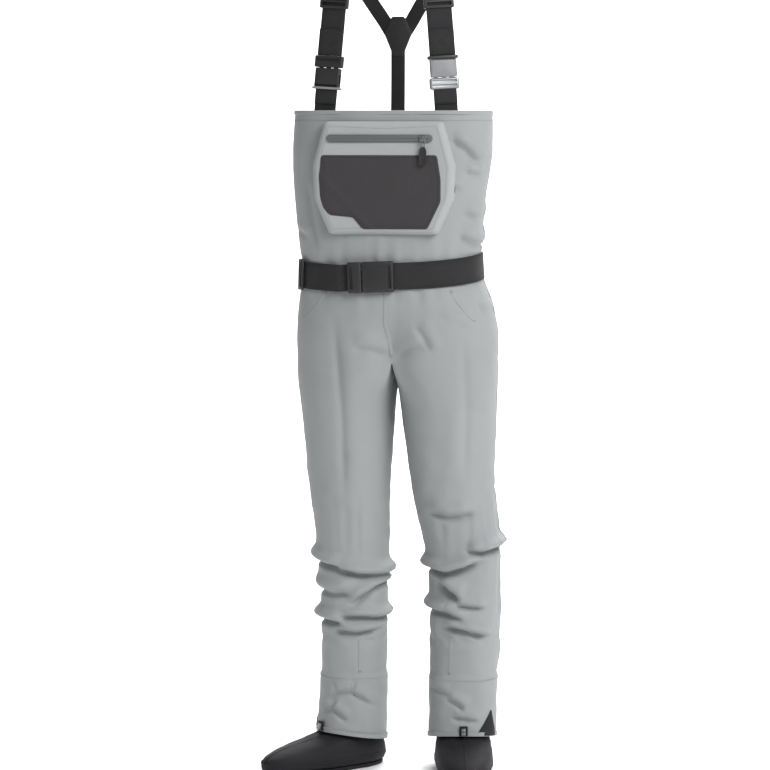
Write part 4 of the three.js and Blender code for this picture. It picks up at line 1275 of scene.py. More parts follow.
class WADERS_OT_belt(bpy.types.Operator):
    """Wading belt: webbing, side-release buckle, tri-glide keeper and three loops"""

    bl_idname = "waders.belt"
    bl_label = "Wading belt"

    def execute(self, context):
        angles = np.linspace(-math.pi / 2 + 0.22, 1.5 * math.pi - 0.62, 60)
        line = [belt_station(a, 0.0032) for a in angles]
        front = -0.1202

        def tie(x):
            return Vector((x, front, height(belt_middle(x, -0.114)))), Vector((0.038, 0, 1)).normalized()

        line = [tie(0.004), tie(0.016), tie(0.024)] + line + [tie(-0.088), tie(-0.07), tie(-0.05)]
        stations = []
        for k, (at, up) in enumerate(line):
            ahead = line[min(k + 1, len(line) - 1)][0] - line[max(k - 1, 0)][0]
            stations.append((at, up, ahead.cross(up).normalized()))
        webbing_belt = webbing("belt_webbing_strap", stations, 0.0508, 0.002, step=0.006)
        finish_piece(webbing_belt, "root", ("belt_webbing",))
        edges = [
            [(at + up * (sign * 0.0215) + out * 0.001, out) for at, up, out in stations[3:-3]]
            for sign in (1, -1)
        ]
        finish_piece(stitches("belt_edge_stitches", edges, "webbing", 0.005), "root", ())
        self.buckle()
        self.keeper()
        for side, angle in (("left", 0.75), ("back", math.pi / 2), ("right", math.pi - 0.75)):
            self.loop(side, angle)
        return {"FINISHED"}

    def buckle(self):
        turn = Matrix.Translation(
            (0, 0, height(belt_middle(0, -0.114)))
        ) @ Matrix.Rotation(-math.atan(0.038), 4, "Y")
        back, face, half = -0.1177, -0.1306, 0.029
        plug = block("plug_base", (-0.066, face, -half), (-0.040, back, half), "plastic", 0.0022, 3)
        raised_panel(plug, (0, -1, 0), 0.004, 0.0008)
        slot = block("slot", (-0.072, -0.1222, -0.0262), (-0.035, -0.1184, 0.0262), "plastic", 0)
        notch = block(
            "notch", (-0.062, face - 0.002, -0.021), (-0.0565, face + 0.0036, 0.021), "plastic", 0.0008
        )
        cut_away(plug, slot, notch)
        prongs = []
        for z in (-0.017, 0.0, 0.017):
            low, high = (-0.041, -0.1285, z - 0.004), (-0.017, -0.1239, z + 0.004)
            prongs.append(block(f"prong{z}", low, high, "plastic", 0.0010))
        add_to(plug, *prongs)
        plug.name = "belt_buckle_plug_part"
        finish_piece(place(plug, turn), "belt_plug", ("belt_buckle_plug",))
        socket = block(
            "belt_buckle_socket_part", (-0.039, face, -half), (0.021, back, half), "plastic", 0.0030, 4
        )
        raised_panel(socket, (0, -1, 0), 0.0075, 0.0012)
        cuts = [block("slot", (0.004, -0.1222, -0.0262), (0.03, -0.1184, 0.0262), "plastic", 0)]
        cuts.append(
            block("notch", (0.0115, face - 0.003, -0.021), (0.0165, face + 0.0036, 0.021), "plastic", 0.0008)
        )
        for z in (-0.017, 0.0, 0.017):
            low, high = (-0.05, -0.1295, z - 0.005), (-0.0148, -0.1229, z + 0.005)
            cuts.append(block("pocket", low, high, "plastic", 0))
        for sign in (-1, 1):
            low = (-0.031, face + 0.0035, min(sign * 0.0215, sign * 0.032))
            high = (-0.016, back - 0.003, max(sign * 0.0215, sign * 0.032))
            cuts.append(block("window", low, high, "plastic", 0.0012))
        cut_away(socket, *cuts)
        finish_piece(place(socket, turn), "root", ("belt_buckle_socket",))

    def keeper(self):
        centre, up = belt_station(math.pi + 0.42, 0.0032)
        ahead = belt_station(math.pi + 0.46, 0.0032)[0] - belt_station(math.pi + 0.38, 0.0032)[0]
        out = ahead.cross(up).normalized()
        turn = Matrix.Translation(centre) @ Matrix((out.cross(up), -out, up)).transposed().to_4x4()
        ring = block(
            "belt_keeper", (-0.011, -0.0066, -0.0295), (0.011, -0.0018, 0.0295), "plastic", 0.0014, 3
        )
        holes = [
            block(
                "hole", (x, -0.01, -0.0245), (x + 0.0055, 0.005, 0.0245), "plastic", 0.0008
            ) for x in (-0.0075, 0.002)
        ]
        cut_away(ring, *holes)
        finish_piece(place(ring, turn), "root", ("belt_tri_glide",))

    def loop(self, side, angle):
        stations = []
        for drop, lift in ((-0.0375, 0.0030), (-0.031, 0.0050), (-0.0265, 0.0068), (0.0, 0.0072), (0.0265,
        0.0068),
                           (0.031, 0.0050), (0.0375, 0.0030)):
            at, up = belt_station(angle, lift, drop)
            a, b = belt_station(angle - 0.03, lift, drop)[0], belt_station(angle + 0.03, lift, drop)[0]
            across = (b - a).normalized()
            stations.append((at, across, across.cross(up).normalized()))
        band = webbing(f"{side}_loop_band", stations, 0.020, 0.0016, "tape", 0.003)
        finish_piece(band, "root", (f"{side}_belt_loop",))
        rows = []
        for drop in (-0.0345, 0.0345):
            at, up = belt_station(angle, 0.0048, drop)
            across = (belt_station(angle + 0.03, 0.0048, drop)[0] - at).normalized()
            out = across.cross(up).normalized()
            rows.append([(at - across * 0.008, out), (at, out), (at + across * 0.008, out)])
        finish_piece(stitches(f"{side}_loop_stitches", rows, "dark_thread", 0.002), "root", ())


# ---- feet ----
FOOT_ROWS = (
    (0.0068, 0.985, 0.985, 0.90),
    (0.014, 1.045, 1.0, 0.97),
    (0.024, 1.06, 0.995, 1.0),
    (0.036, 1.04, 0.94, 0.99),
    (0.048, 0.98, 0.76, 0.965),
    (0.060, 0.93, 0.46, 0.93),
    (0.070, 0.88, 0.30, 0.89),
    (0.084, 0.83, 0.215, 0.86),
    (0.100, 0.81, 0.21, 0.85),
    (0.116, 0.84, 0.225, 0.90),
    (0.132, 0.93, 0.262, 1.07),
    (0.150, 0.975, 0.272, 1.13),
    (0.172, 0.975, 0.272, 1.13),
)


def foot_ring(row, count=72):
    h, back, front, width = row
    points = []
    for k in range(count):
        angle = 2 * math.pi * k / count
        s, c = math.sin(angle), math.cos(angle)
        y = math.copysign(abs(s) ** (2 / 2.3), s)
        taper = 1 + 0.06 * math.sin(math.pi * -y) if y < 0 else 1 - 0.18 * y * max(0.0, 1 - h / 0.11)
        x = 0.0545 * width * taper * math.copysign(abs(c) ** (2 / 2.3), c)
        points.append((x, (0.062 * back if y > 0 else 0.212 * front) * y, h))
    return points


def dense_rows(rows, step=0.004):
    rows = np.array(rows)
    heights = np.arange(rows[0, 0], rows[-1, 0] + 1e-6, step)
    slopes = np.gradient(rows[:, 1:], rows[:, 0], axis=0)
    out = []
    for h in heights:
        k = int(np.clip(np.searchsorted(rows[:, 0], h) - 1, 0, len(rows) - 2))
        span = rows[k + 1, 0] - rows[k, 0]
        t = np.clip((h - rows[k, 0]) / span, 0, 1)
        value = (2 * t**3 - 3 * t**2 + 1) * rows[k, 1:] + (t**3 - 2 * t**2 + t) * span * slopes[k]
        value += (-2 * t**3 + 3 * t**2) * rows[k + 1, 1:] + (t**3 - t**2) * span * slopes[k + 1]
        out.append((h, *value))
    return out


def ring_solid(name, rings, look):
    """A closed solid through rings of points, with flat ends."""
    count = len(rings[0])
    points = [p for ring in rings for p in ring]
    faces = []
    for j in range(len(rings) - 1):
        for i in range(count):
            k = (i + 1) % count
            faces.append((j * count + i, j * count + k, (j + 1) * count + k, (j + 1) * count + i))
    faces += [tuple(range(count))[::-1], tuple(range(len(points) - count, len(points)))]
    return new_object(name, points, faces, look=look)


class WADERS_OT_feet(bpy.types.Operator):
    """Neoprene stocking feet with their bound seams and flat soles"""

    bl_idname = "waders.feet"
    bl_label = "Stocking feet"

    def execute(self, context):
        for side in SIDES:
            x, y = FOOT_PLACE[side]
            turn = Matrix.Translation((x, y, SOLE_Z)) @ Matrix.Rotation(TOE_OUT[side], 4, "Z")
            self.sock(side, turn)
            self.sole(side, turn)
            self.seams(side, turn)
        return {"FINISHED"}

    def sock(self, side, turn):
        rings = [foot_ring(row) for row in dense_rows(FOOT_ROWS)]
        count = len(rings[0])
        points = [p for ring in rings for p in ring]
        faces = []
        for j in range(len(rings) - 1):
            for i in range(count):
                k = (i + 1) % count
                faces.append((j * count + i, j * count + k, (j + 1) * count + k, (j + 1) * count + i))
        faces.append(tuple(range(count))[::-1])
        obj = new_object(f"{side}_foot_sock", points, faces, look="neoprene")
        co, normals = points_of(obj), vertex_normals(obj)
        shift = np.zeros(len(co))
        for i, (x, y, z) in enumerate(co):
            ankle = math.exp(-(((z - 0.075) / 0.03) ** 2))
            crease = math.sin(z * 420 + y * 60 + 1.5 * noise.noise(Vector((x * 20, y * 20, z * 10))))
            front = smooth(-y * 14 + 0.4)
            shift[i] = 0.0016 * ankle * crease * front + 0.0008 * noise.noise(
                Vector((x * 30, y * 30, z * 30 + 9))
            )
            if z < 0.012:
                shift[i] = 0
        set_points(obj, co + normals * shift[:, None])
        modify(obj, "SOLIDIFY", thickness=0.004, offset=-1)
        modify(obj, "SUBSURF", levels=1, render_levels=1)
        obj.data.transform(turn)
        halves = [f"{side}_foot_{half}_half" for half in ("outer", "inner")]
        finish_piece(obj, f"{side}_shin", halves)

    def sole(self, side, turn):
        base = foot_ring(FOOT_ROWS[0], 96)
        rings = []
        for h, inset in (
            (0.0, 0.0022), (0.0009, 0.0007), (0.0024, 0.0), (0.0054, 0.0), (0.0066, 0.0008), (0.0069, 0.003)
        ):
            ring = []
            for x, y, _ in base:
                r = math.hypot(x, y)
                ring.append((x * (1 - inset / r), y * (1 - inset / r), h))
            rings.append(ring)
        obj = ring_solid(f"{side}_foot_sole", rings, "neoprene")
        obj.data.transform(turn)
        finish_piece(smooth_edges(obj, 50), f"{side}_shin", (f"{side}_sole",))

    def seams(self, side, turn):
        """A raised bound seam over the instep and round the toe, just above the sole."""
        rows = dense_rows(FOOT_ROWS)
        line = []
        low = min(range(len(rows)), key=lambda k: abs(rows[k][0] - 0.024))
        ring = foot_ring(rows[low], 96)
        for k in range(97):
            x, y, z = ring[k % 96]
            line.append(((x, y, z + 0.002 * math.sin(k * 0.4)), Vector((x, y * 0.5, 0)).normalized()))
        front = []
        for row in rows[low : low + 22]:
            ring = foot_ring(row, 96)
            front.append((ring[72], Vector((0, -0.5, 0.8)).normalized()))
        pieces = [
            welt(f"{side}_seam_{k}", path, 0.004, 0.0007, "neoprene", 0.004)
            for k, path in enumerate((line, front))
        ]
        obj = add_to(*pieces)
        obj.name = f"{side}_foot_seams"
        obj.data.transform(turn)
        finish_piece(obj, f"{side}_shin", ())


class WADERS_OT_hems(bpy.types.Operator):
    """Guard hems, their elastic tapes, and the lace hooks on their tabs"""

    bl_idname = "waders.hems"
    bl_label = "Hems and hooks"

    def execute(self, context):
        for side in SIDES:
            self.hem(side)
            self.hook(side)
            self.gusset(side)
        return {"FINISHED"}

    def hem(self, side):
        stations, rows = [], []
        for k in range(73):
            angle = 2 * math.pi * k / 72
            low = self.edge(side, angle, HEM + 0.0045)
            high = self.edge(side, angle, HEM + 0.0135)
            ahead = self.edge(side, angle + 0.05, HEM + 0.0045) - low
            up = (high - low).normalized()
            out = ahead.cross(up).normalized()
            stations.append((low + out * 0.0002, up, out))
            rows.append((low + up * 0.0035 + out * 0.0014, out))
        tape = webbing(f"{side}_hem_tape", stations, 0.0095, 0.0026, "cloth", 0.008)
        finish_piece(tape, f"{side}_shin", (f"{side}_guard_hem",))
        finish_piece(stitches(f"{side}_hem_stitches", [rows], "thread"), f"{side}_shin", ())

    def gusset(self, side):
        """A black stretch triangle let into the outer side of the guard, widest at the hem."""
        middle = TOE_OUT[side] - math.pi / 2 + SIDES[side] * 0.76
        rows, columns = 14, 12
        points, quads = [], []
        for j in range(rows + 1):
            t = j / rows
            h = HEM + 0.001 + 0.052 * t
            spread = 0.42 * (1 - t) + 0.015
            for i in range(columns + 1):
                angle = middle + SIDES[side] * 0.18 * t + spread * (2 * i / columns - 1)
                at = self.edge(side, angle, h)
                hit, normal = self.skin(side, at)
                points.append(hit + normal * 0.0009)
        for j in range(rows):
            for i in range(columns):
                k = j * (columns + 1) + i
                quads.append((k, k + 1, k + columns + 2, k + columns + 1))
        obj = new_object(f"{side}_guard_gusset", points, quads, [(p[0], p[2]) for p in points], "neoprene")
        modify(obj, "SOLIDIFY", thickness=0.0014, offset=0)
        finish_piece(outward(obj), f"{side}_shin", ())

    def skin(self, side, at):
        cx, cy = section(LEGS[side], 0.1)[:2]
        out = Vector((at.x - cx, at.y - cy, 0)).normalized()
        hit, normal, _, _ = SUIT["tree"].ray_cast(at + out * 0.3, -out)
        if hit is None or (hit - at).length > 0.03:
            return at, out
        return hit, (normal if normal.dot(out) > 0 else -normal)

    def edge(self, side, angle, h):
        cx, cy, a, b = section(LEGS[side], h)
        power = 2 / 2.3
        x = cx + (a + 0.0034) * math.copysign(abs(math.cos(angle)) ** power, math.cos(angle))
        y = cy + (b + 0.0034) * math.copysign(abs(math.sin(angle)) ** power, math.sin(angle))
        share = (GUARD - h) / (GUARD - HEM)
        lift = HEM_ARCH * math.cos(math.atan2(y - cy, x - cx) + math.pi / 2 - TOE_OUT[side]) * share
        return Vector((x, y, height(h + lift)))

    def hook(self, side):
        cx, cy = section(LEGS[side], 0.072)[:2]
        turn = Matrix.Translation((cx, cy, SOLE_Z)) @ Matrix.Rotation(TOE_OUT[side], 4, "Z")
        low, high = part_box(f"{side}_hook_tab")
        inverse = turn.inverted()
        middle = inverse @ ((low + high) / 2)
        face = middle.y
        tab = block(
            f"{side}_tab", (-0.008, face - 0.0008, 0.0725), (0.008, face + 0.0009, 0.0915), "webbing", 0.0006
        )
        finish_piece(place(tab, turn), f"{side}_shin", (f"{side}_hook_tab",))
        y = face - 0.0014
        plate = block(f"{side}_hook", (-0.004, y - 0.002, 0.0735), (0.004, y, 0.0875), "metal", 0.0007)
        lip = block("lip", (-0.004, y - 0.0068, 0.0737), (0.004, y - 0.001, 0.0755), "metal", 0.0007)
        end = block("end", (-0.004, y - 0.0069, 0.0739), (0.004, y - 0.0052, 0.0812), "metal", 0.0007)
        rivet = rod("rivet", (0, y - 0.0026, 0.0835), (0, y, 0.0835), 0.0022, "metal")
        add_to(plate, lip, end, rivet)
        finish_piece(place(plate, turn), f"{side}_shin", (f"{side}_lace_hook",))


# ---- chest pocket ----
POCKET_FRONT = -0.1232
POCKET = ((-0.112, 1.243), (0.112, 1.243), (0.135, 1.160), (0.132, 1.098), (0.103, 1.030), (-0.103, 1.030),
          (-0.132, 1.098), (-0.135, 1.160))
PATCH = ((-0.116, 1.179), (0.102, 1.179), (0.109, 1.135), (0.109, 1.092), (0.084, 1.041), (-0.038, 1.041),
         (-0.056, 1.063), (-0.100, 1.067), (-0.112, 1.080), (-0.118, 1.100), (-0.120, 1.135))
ZIP_H = 1.210


def pocket_face(x, z):
    """The pocket's front: nearly flat, a little fuller at its middle and softly uneven."""
    h = z - SOLE_Z
    full = 0.0018 * math.cos(min(1.5, abs(x) / 0.09)) * math.cos(min(1.5, abs(h - 1.13) / 0.075))
    return POCKET_FRONT - full - 0.0007 * noise.noise(Vector((x * 16, h * 16, 2)))


class WADERS_OT_pocket(bpy.types.Operator):
    """Raised chest pocket with its charcoal patch, their stitching, and the sealed zip"""

    bl_idname = "waders.pocket"
    bl_label = "Chest pocket"

    def execute(self, context):
        frame_points = [(x, height(h)) for x, h in POCKET]
        edge = rounded(frame_points, 0.006, 4)

        def sewn(x, z):
            return on_suit((x, -0.6, z), (0, 1, 0))[0].y + 0.0006

        def shoulder(x, z):
            return min(sewn(x, z) - 0.0035, POCKET_FRONT + 0.0052)

        rings = [(0.0, sewn), (0.0008, lambda x, z: sewn(x, z) - 0.0016), (0.0022, shoulder), (0.006, 0.0026),
                 (0.0088, 0.0008), (0.0115, 0.0)]
        pocket = cloth_panel("pocket_panel", edge, pocket_face, rings, "pocket", 240, 28)
        finish_piece(pocket, "root", ("chest_pocket",))
        patch_edge = rounded([(x, height(h)) for x, h in PATCH], 0.005, 4)

        def patch_face(x, z):
            h = z - SOLE_Z
            fold = (x + 0.078) * 0.72 + (h - 1.098) * 0.69
            return pocket_face(x, z) - 0.0012 - 0.0010 * math.exp(-((fold / 0.006) ** 2)) * (x < -0.02)

        rings = [
            (0.0, 0.0022), (0.0, 0.0006), (0.0007, 0.0), (0.0045, -0.0001), (0.0055, 0.0003), (0.0065, 0.0)
        ]
        patch = cloth_panel("pocket_front_patch", patch_edge, patch_face, rings, "patch", 260, 30)
        finish_piece(patch, "root", ("pocket_patch",))
        rows = []
        for outline_points, inset, face, lift in (
            (edge, 0.014, pocket_face, 0.0), (patch_edge, 0.0055, patch_face, -0.0003)
        ):
            loop = resampled(outline_points, 120)
            centre = loop.mean(axis=0)
            inward = (centre - loop) / np.linalg.norm(centre - loop, axis=1)[:, None]
            loop = loop + inward * inset
            rows.append(
                [(Vector((x, face(x, z) + lift, z)), Vector((0, -1, 0))) for x, z in [*loop, loop[0]]]
            )
        finish_piece(stitches("pocket_stitches", rows[:1], "thread"), "root", ())
        finish_piece(stitches("patch_stitches", rows[1:], "dark_thread"), "root", ())
        self.zip()
        return {"FINISHED"}

    def zip(self):
        z, half = height(ZIP_H), 0.0075
        points = []
        for cx, start in ((0.0865, -90), (-0.0985, 90)):
            for k in range(13):
                a = math.radians(start + 15 * k)
                points.append((cx + half * math.cos(a), z + half * math.sin(a)))
        tape = slab("zip_sealed_tape", points, POCKET_FRONT + 0.0004, POCKET_FRONT - 0.0030, "zip", 0.0005)
        groove = block(
            "groove",
            (-0.101, POCKET_FRONT - 0.005, z - 0.0005),
            (0.089, POCKET_FRONT - 0.0024, z + 0.0005),
            "zip",
            0,
        )
        cut_away(tape, groove)
        finish_piece(smooth_edges(tape), "root", ("zip_tape",))
        rows = []
        for lift in (0.0052, -0.0052):
            rows.append([(Vector((x, POCKET_FRONT - 0.0031, z + lift)), Vector((0, -1,
            0))) for x in np.linspace(-0.098, 0.086, 24)])
        finish_piece(stitches("zip_stitches", rows, "dark_thread"), "root", ())
        x = 0.076
        low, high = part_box("zip_slider")
        slider = block(
            "zip_slider_body",
            (x - 0.007, low.y + 0.0056, low.z),
            (x + 0.007, high.y - 0.0002, high.z),
            "metal",
            0.0014,
            3,
        )
        left = rod(
            "a",
            (x - 0.0034, high.y - 0.001, low.z + 0.003),
            (x - 0.0066, high.y - 0.001, high.z - 0.001),
            0.0011,
            "metal",
        )
        right = rod(
            "b",
            (x + 0.0034, high.y - 0.001, low.z + 0.003),
            (x + 0.0066, high.y - 0.001, high.z - 0.001),
            0.0011,
            "metal",
        )
        top, bottom = high.z - 0.002, low.z + 0.0004
        bridge = block(
            "bridge", (x - 0.0017, low.y, bottom), (x + 0.0017, low.y + 0.007, top), "metal", 0.0008
        )
        cut_away(
            bridge,
            block(
                "hole",
                (x - 0.004, low.y + 0.0016, bottom + 0.0018),
                (x + 0.004, low.y + 0.0056, top - 0.0022),
                "metal",
                0,
            ),
        )
        add_to(slider, bridge, left, right)
        finish_piece(smooth_edges(slider), "zip_slider", ("zip_slider",))
        low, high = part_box("zip_pull")
        y, top = (low.y + high.y) / 2, high.z - 0.0014
        pin = rod("pin", (x - 0.0045, y, top), (x + 0.0045, y, top), 0.00095, "metal")
        arms = [
            rod(
                f"arm{s}", (x + s * 0.004, y, top + 0.0004), (x + s * 0.0032, y, top - 0.015), 0.0009, "metal"
            )
            for s in (-1, 1)
        ]
        foot = rod("foot", (x - 0.0034, y, top - 0.0146), (x + 0.0034, y, top - 0.0146), 0.001, "metal")
        add_to(pin, *arms, foot)
        pin.name = "zip_pull_ring"
        finish_piece(smooth_edges(pin), "zip_pull", ())
        outline_points = [(x - 0.0035, top - 0.0128), (x + 0.0035, top - 0.0128), (x + 0.0068, top - 0.020),
                          (x + 0.0075, low.z + 0.004), (x + 0.005, low.z), (x - 0.005, low.z), (x - 0.0075,
                          low.z + 0.004),
                          (x - 0.0068, top - 0.020)]
        tab = slab(
            "zip_pull_tab", rounded(outline_points, 0.002, 3), y + 0.0013, y - 0.0013, "plastic", 0.0006
        )
        raised_panel(tab, (0, -1, 0), 0.0016, -0.0004)
        finish_piece(smooth_edges(tab), "zip_pull", ("zip_pull",))


# ---- suspenders ----
SHOULDER = 1.550
STRAP = 0.049


def strap_frame(sign):
    """The front strap's own frame: across, back and up, with its origin at the bib's top edge."""
    bottom = Vector((0.115 * sign, -0.082, height(BIB)))
    top = Vector((0.097 * sign, -0.066, height(SHOULDER - 0.072)))
    up = (top - bottom).normalized()
    across = Vector((math.cos(math.radians(16)), math.sin(math.radians(16)) * sign, 0))
    across = (across - up * across.dot(up)).normalized()
    back = up.cross(across).normalized()
    turn = Matrix((across, back, up)).transposed().to_4x4()
    return Matrix.Translation(bottom) @ turn, (top - bottom).length - 0.012


OVER = (
    ((0.095, -0.042, -0.017), (1, 0.12, 0), (0, -0.66, 0.75)),
    ((0.093, -0.016, -0.004), (1, 0.02, 0), (0, -0.28, 0.96)),
    ((0.092, 0.008, 0.0), (1, -0.1, 0), (0, 0.12, 0.99)),
    ((0.087, 0.036, -0.009), (0.97, 0.18, -0.18), (0.05, 0.55, 0.84)),
    ((0.075, 0.064, -0.034), (0.93, 0.15, -0.34), (0.05, 0.85, 0.5)),
    ((0.058, 0.086, -0.066), (0.87, 0.05, -0.48), (0.05, 0.97, 0.2)),
    ((0.028, 0.1070, -0.114), (0.855, 0.05, -0.515), (0, 1, 0.1)),
    ((0.015, 0.1078, -0.135), (0.855, 0.02, -0.515), (0, 1, 0.1)),
)


class WADERS_OT_suspenders(bpy.types.Operator):
    """Both suspenders: lower straps, buckles, wide front straps with their sliders, narrow back branches"""

    bl_idname = "waders.suspenders"
    bl_label = "Suspenders"

    def execute(self, context):
        for side, sign in SIDES.items():
            turn, adjuster = strap_frame(sign)
            self.lower(side, turn)
            self.straps(side, sign, turn, adjuster)
            self.socket(side, sign, turn)
            self.plug(side, sign, turn)
            self.slider(side, turn, adjuster)
        return {"FINISHED"}

    def in_frame(self, turn, rows):
        axes = turn.to_3x3()
        return [(turn @ Vector(at), axes @ Vector(across), axes @ Vector(out)) for at, across, out in rows]

    def lower(self, side, turn):
        rows = [((0, 0.0, z), (1, 0, 0), (0, -1, 0)) for z in (-0.046, -0.02, 0.0, 0.02, 0.0435)]
        strap = webbing(f"{side}_lower_webbing", self.in_frame(turn, rows), 0.044, 0.0018)
        tail = [((0, -0.0022, z), (1, 0, 0), (0, -1, 0)) for z in (0.012, 0.024, 0.0425)]
        fold = webbing("fold", self.in_frame(turn, tail), 0.044, 0.0018)
        add_to(strap, fold)
        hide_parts(f"{side}_lower_strap")
        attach(strap, "root")
        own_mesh(strap)

    def straps(self, side, sign, turn, adjuster):
        seam = 0.040 + (0.040 if sign < 0 else 0.022)
        start = seam + 0.001 + (0.022 if sign < 0 else 0.040) + 0.0004
        straight = [
            ((0, -0.0, z), (1, 0, 0), (0, -1, 0))
            for z in (start, start + 0.02, adjuster - 0.04, adjuster + 0.034)
        ]
        stations = self.in_frame(turn, straight)
        over = []
        for (x, y, z), (ax, ay, az), out in OVER:
            at = Vector((x * sign, y, height(SHOULDER) + z))
            over.append((at, Vector((ax, ay * sign, az * sign)), Vector((out[0] * sign, out[1], out[2]))))
        front = webbing(f"{side}_front_webbing", stations + over[:3], STRAP, 0.0018)
        finish_piece(front, "root", (f"{side}_front_strap",))
        doubled = [((0, -0.0026, z), (1, 0, 0), (0, -1, 0)) for z in (start, start + 0.025, start + 0.050)]
        tail = webbing(f"{side}_doubled_webbing", self.in_frame(turn, doubled), STRAP, 0.0018)
        finish_piece(tail, "root", ())
        narrow = [(at - Vector(out).normalized() * 0.0024, across, out) for at, across, out in over[2:]]
        branch = webbing(f"{side}_back_webbing", narrow, 0.027, 0.0018)
        finish_piece(branch, "root", (f"{side}_back_branch",))
        rows = []
        for z in (start + 0.006, start + 0.044):
            line = [((x, -0.0037, z), (1, 0, 0), (0, -1, 0)) for x in np.linspace(-0.021, 0.021, 8)]
            rows.append([(at, out) for at, _, out in self.in_frame(turn, line)])
        for a, b in (((-0.021, 0.006), (0.021, 0.044)), ((-0.021, 0.044), (0.021, 0.006))):
            line = [
                ((x, -0.0037, start + z), (1, 0, 0), (0, -1, 0))
                for x, z in zip(np.linspace(a[0], b[0], 8), np.linspace(a[1], b[1], 8))
            ]
            rows.append([(at, out) for at, _, out in self.in_frame(turn, line)])
        at, across, out = over[2]
        for forward in (-0.006, 0.002):
            rows.append(
                [(at + Vector((dx * sign, forward, 0.0013)), Vector((0, 0, 1))) for dx in (-0.012, 0, 0.012)]
            )
        finish_piece(stitches(f"{side}_strap_stitches", rows, "dark_thread", 0.0026), "root", ())

    def socket(self, side, sign, turn):
        low = sign < 0
        z0, z1 = (0.040, 0.080) if low else (0.063, 0.103)
        look = "plastic" if low else "grey_and_highlight"
        mouth, bar = (z1, z0) if low else (z0, z1)
        way = -1 if low else 1
        body = block(f"{side}_socket_body", (-0.0252, -0.0065, z0), (0.0252, 0.0065, z1), look, 0.0026, 4)
        raised_panel(body, (0, -1, 0), 0.006, 0.0011)
        cuts = []
        for x in (-0.015, 0.0, 0.015):
            ends = sorted((mouth - way * 0.002, mouth + way * 0.0246))
            cuts.append(block("way", (x - 0.005, -0.0035, ends[0]), (x + 0.005, 0.0035, ends[1]), look, 0))
        centre = (z0 + z1) / 2
        for s in (-1, 1):
            xs = sorted((s * 0.0212, s * 0.030))
            cuts.append(block("window", (xs[0], -0.0036, centre - 0.008), (xs[1], 0.0036, centre + 0.008),
            look, 0.0012))
        ends = sorted((bar + way * 0.001 - way * 0.010, bar - way * 0.0052))
        cuts.append(block("slot", (-0.0225, -0.009, ends[0]), (0.0225, -0.0025, ends[1]), look, 0.0006))
        cut_away(body, *cuts)
        tall = 0.0042 if low else 0.0062
        ends = sorted((bar, bar - way * tall))
        # on the right socket the grey bar is a painted highlight on the black buckle; on the left socket the
        # bar is black plastic
        bar_look = "grey_and_highlight" if low else "plastic"
        add_to(
            body, block("bar", (-0.0285, -0.0074, ends[0]), (0.0285, 0.0064, ends[1]), bar_look, 0.0014, 3)
        )
        rides = f"{side}_buckle" if low else "root"
        finish_piece(place(body, turn), rides, (f"{side}_buckle_socket",))

    def plug(self, side, sign, turn):
        low = sign > 0
        z0, z1 = (0.040, 0.062) if low else (0.081, 0.103)
        look = "bright" if low else "plastic"
        tip = z1 if low else z0
        way = 1 if low else -1
        bevel = 0.0044 if low else 0.0022
        base = block(f"{side}_plug_body", (-0.0285, -0.0055, z0), (0.0285, 0.0055, z1), look, bevel, 4)
        outer = z0 if low else z1
        slots = [(0.0042, 0.0092), (0.0128, 0.0178)] if low else [(0.0046, 0.0104)]
        cuts = []
        for a, b in slots:
            ends = sorted((outer + way * a, outer + way * b))
            cuts.append(block("slot", (-0.0235, -0.009, ends[0]), (0.0235, -0.0022, ends[1]), look, 0.0008))
        cut_away(base, *cuts)
        prongs = []
        for x in (-0.015, 0.0, 0.015):
            ends = sorted((tip - way * 0.002, tip + way * 0.0236))
            prongs.append(
                block(f"prong{x}", (x - 0.004, -0.0025, ends[0]), (x + 0.004, 0.0025, ends[1]), look, 0.001)
            )
        add_to(base, *prongs)
        rides = f"{side}_buckle" if low else "root"
        finish_piece(place(base, turn), rides, (f"{side}_buckle_plug",))

    def slider(self, side, turn, adjuster):
        body = block(
            f"{side}_adjuster_frame",
            (-0.0285, -0.0056, adjuster - 0.013),
            (0.0285, 0.0038, adjuster + 0.013),
            "plastic",
            0.0016,
            3,
        )
        pass_through = block(
            "pass", (-0.0251, -0.0016, adjuster - 0.03), (0.0251, 0.0016, adjuster + 0.03), "plastic", 0
        )
        gaps = [
            block("gap", (-0.0235, -0.008, adjuster + a), (0.0235, -0.001, adjuster + b), "plastic", 0.0008)
            for a, b in ((-0.0085, -0.0015), (0.0015, 0.0085))
        ]
        cut_away(body, pass_through, *gaps)
        finish_piece(place(body, turn), f"{side}_adjuster", (f"{side}_strap_slider",))


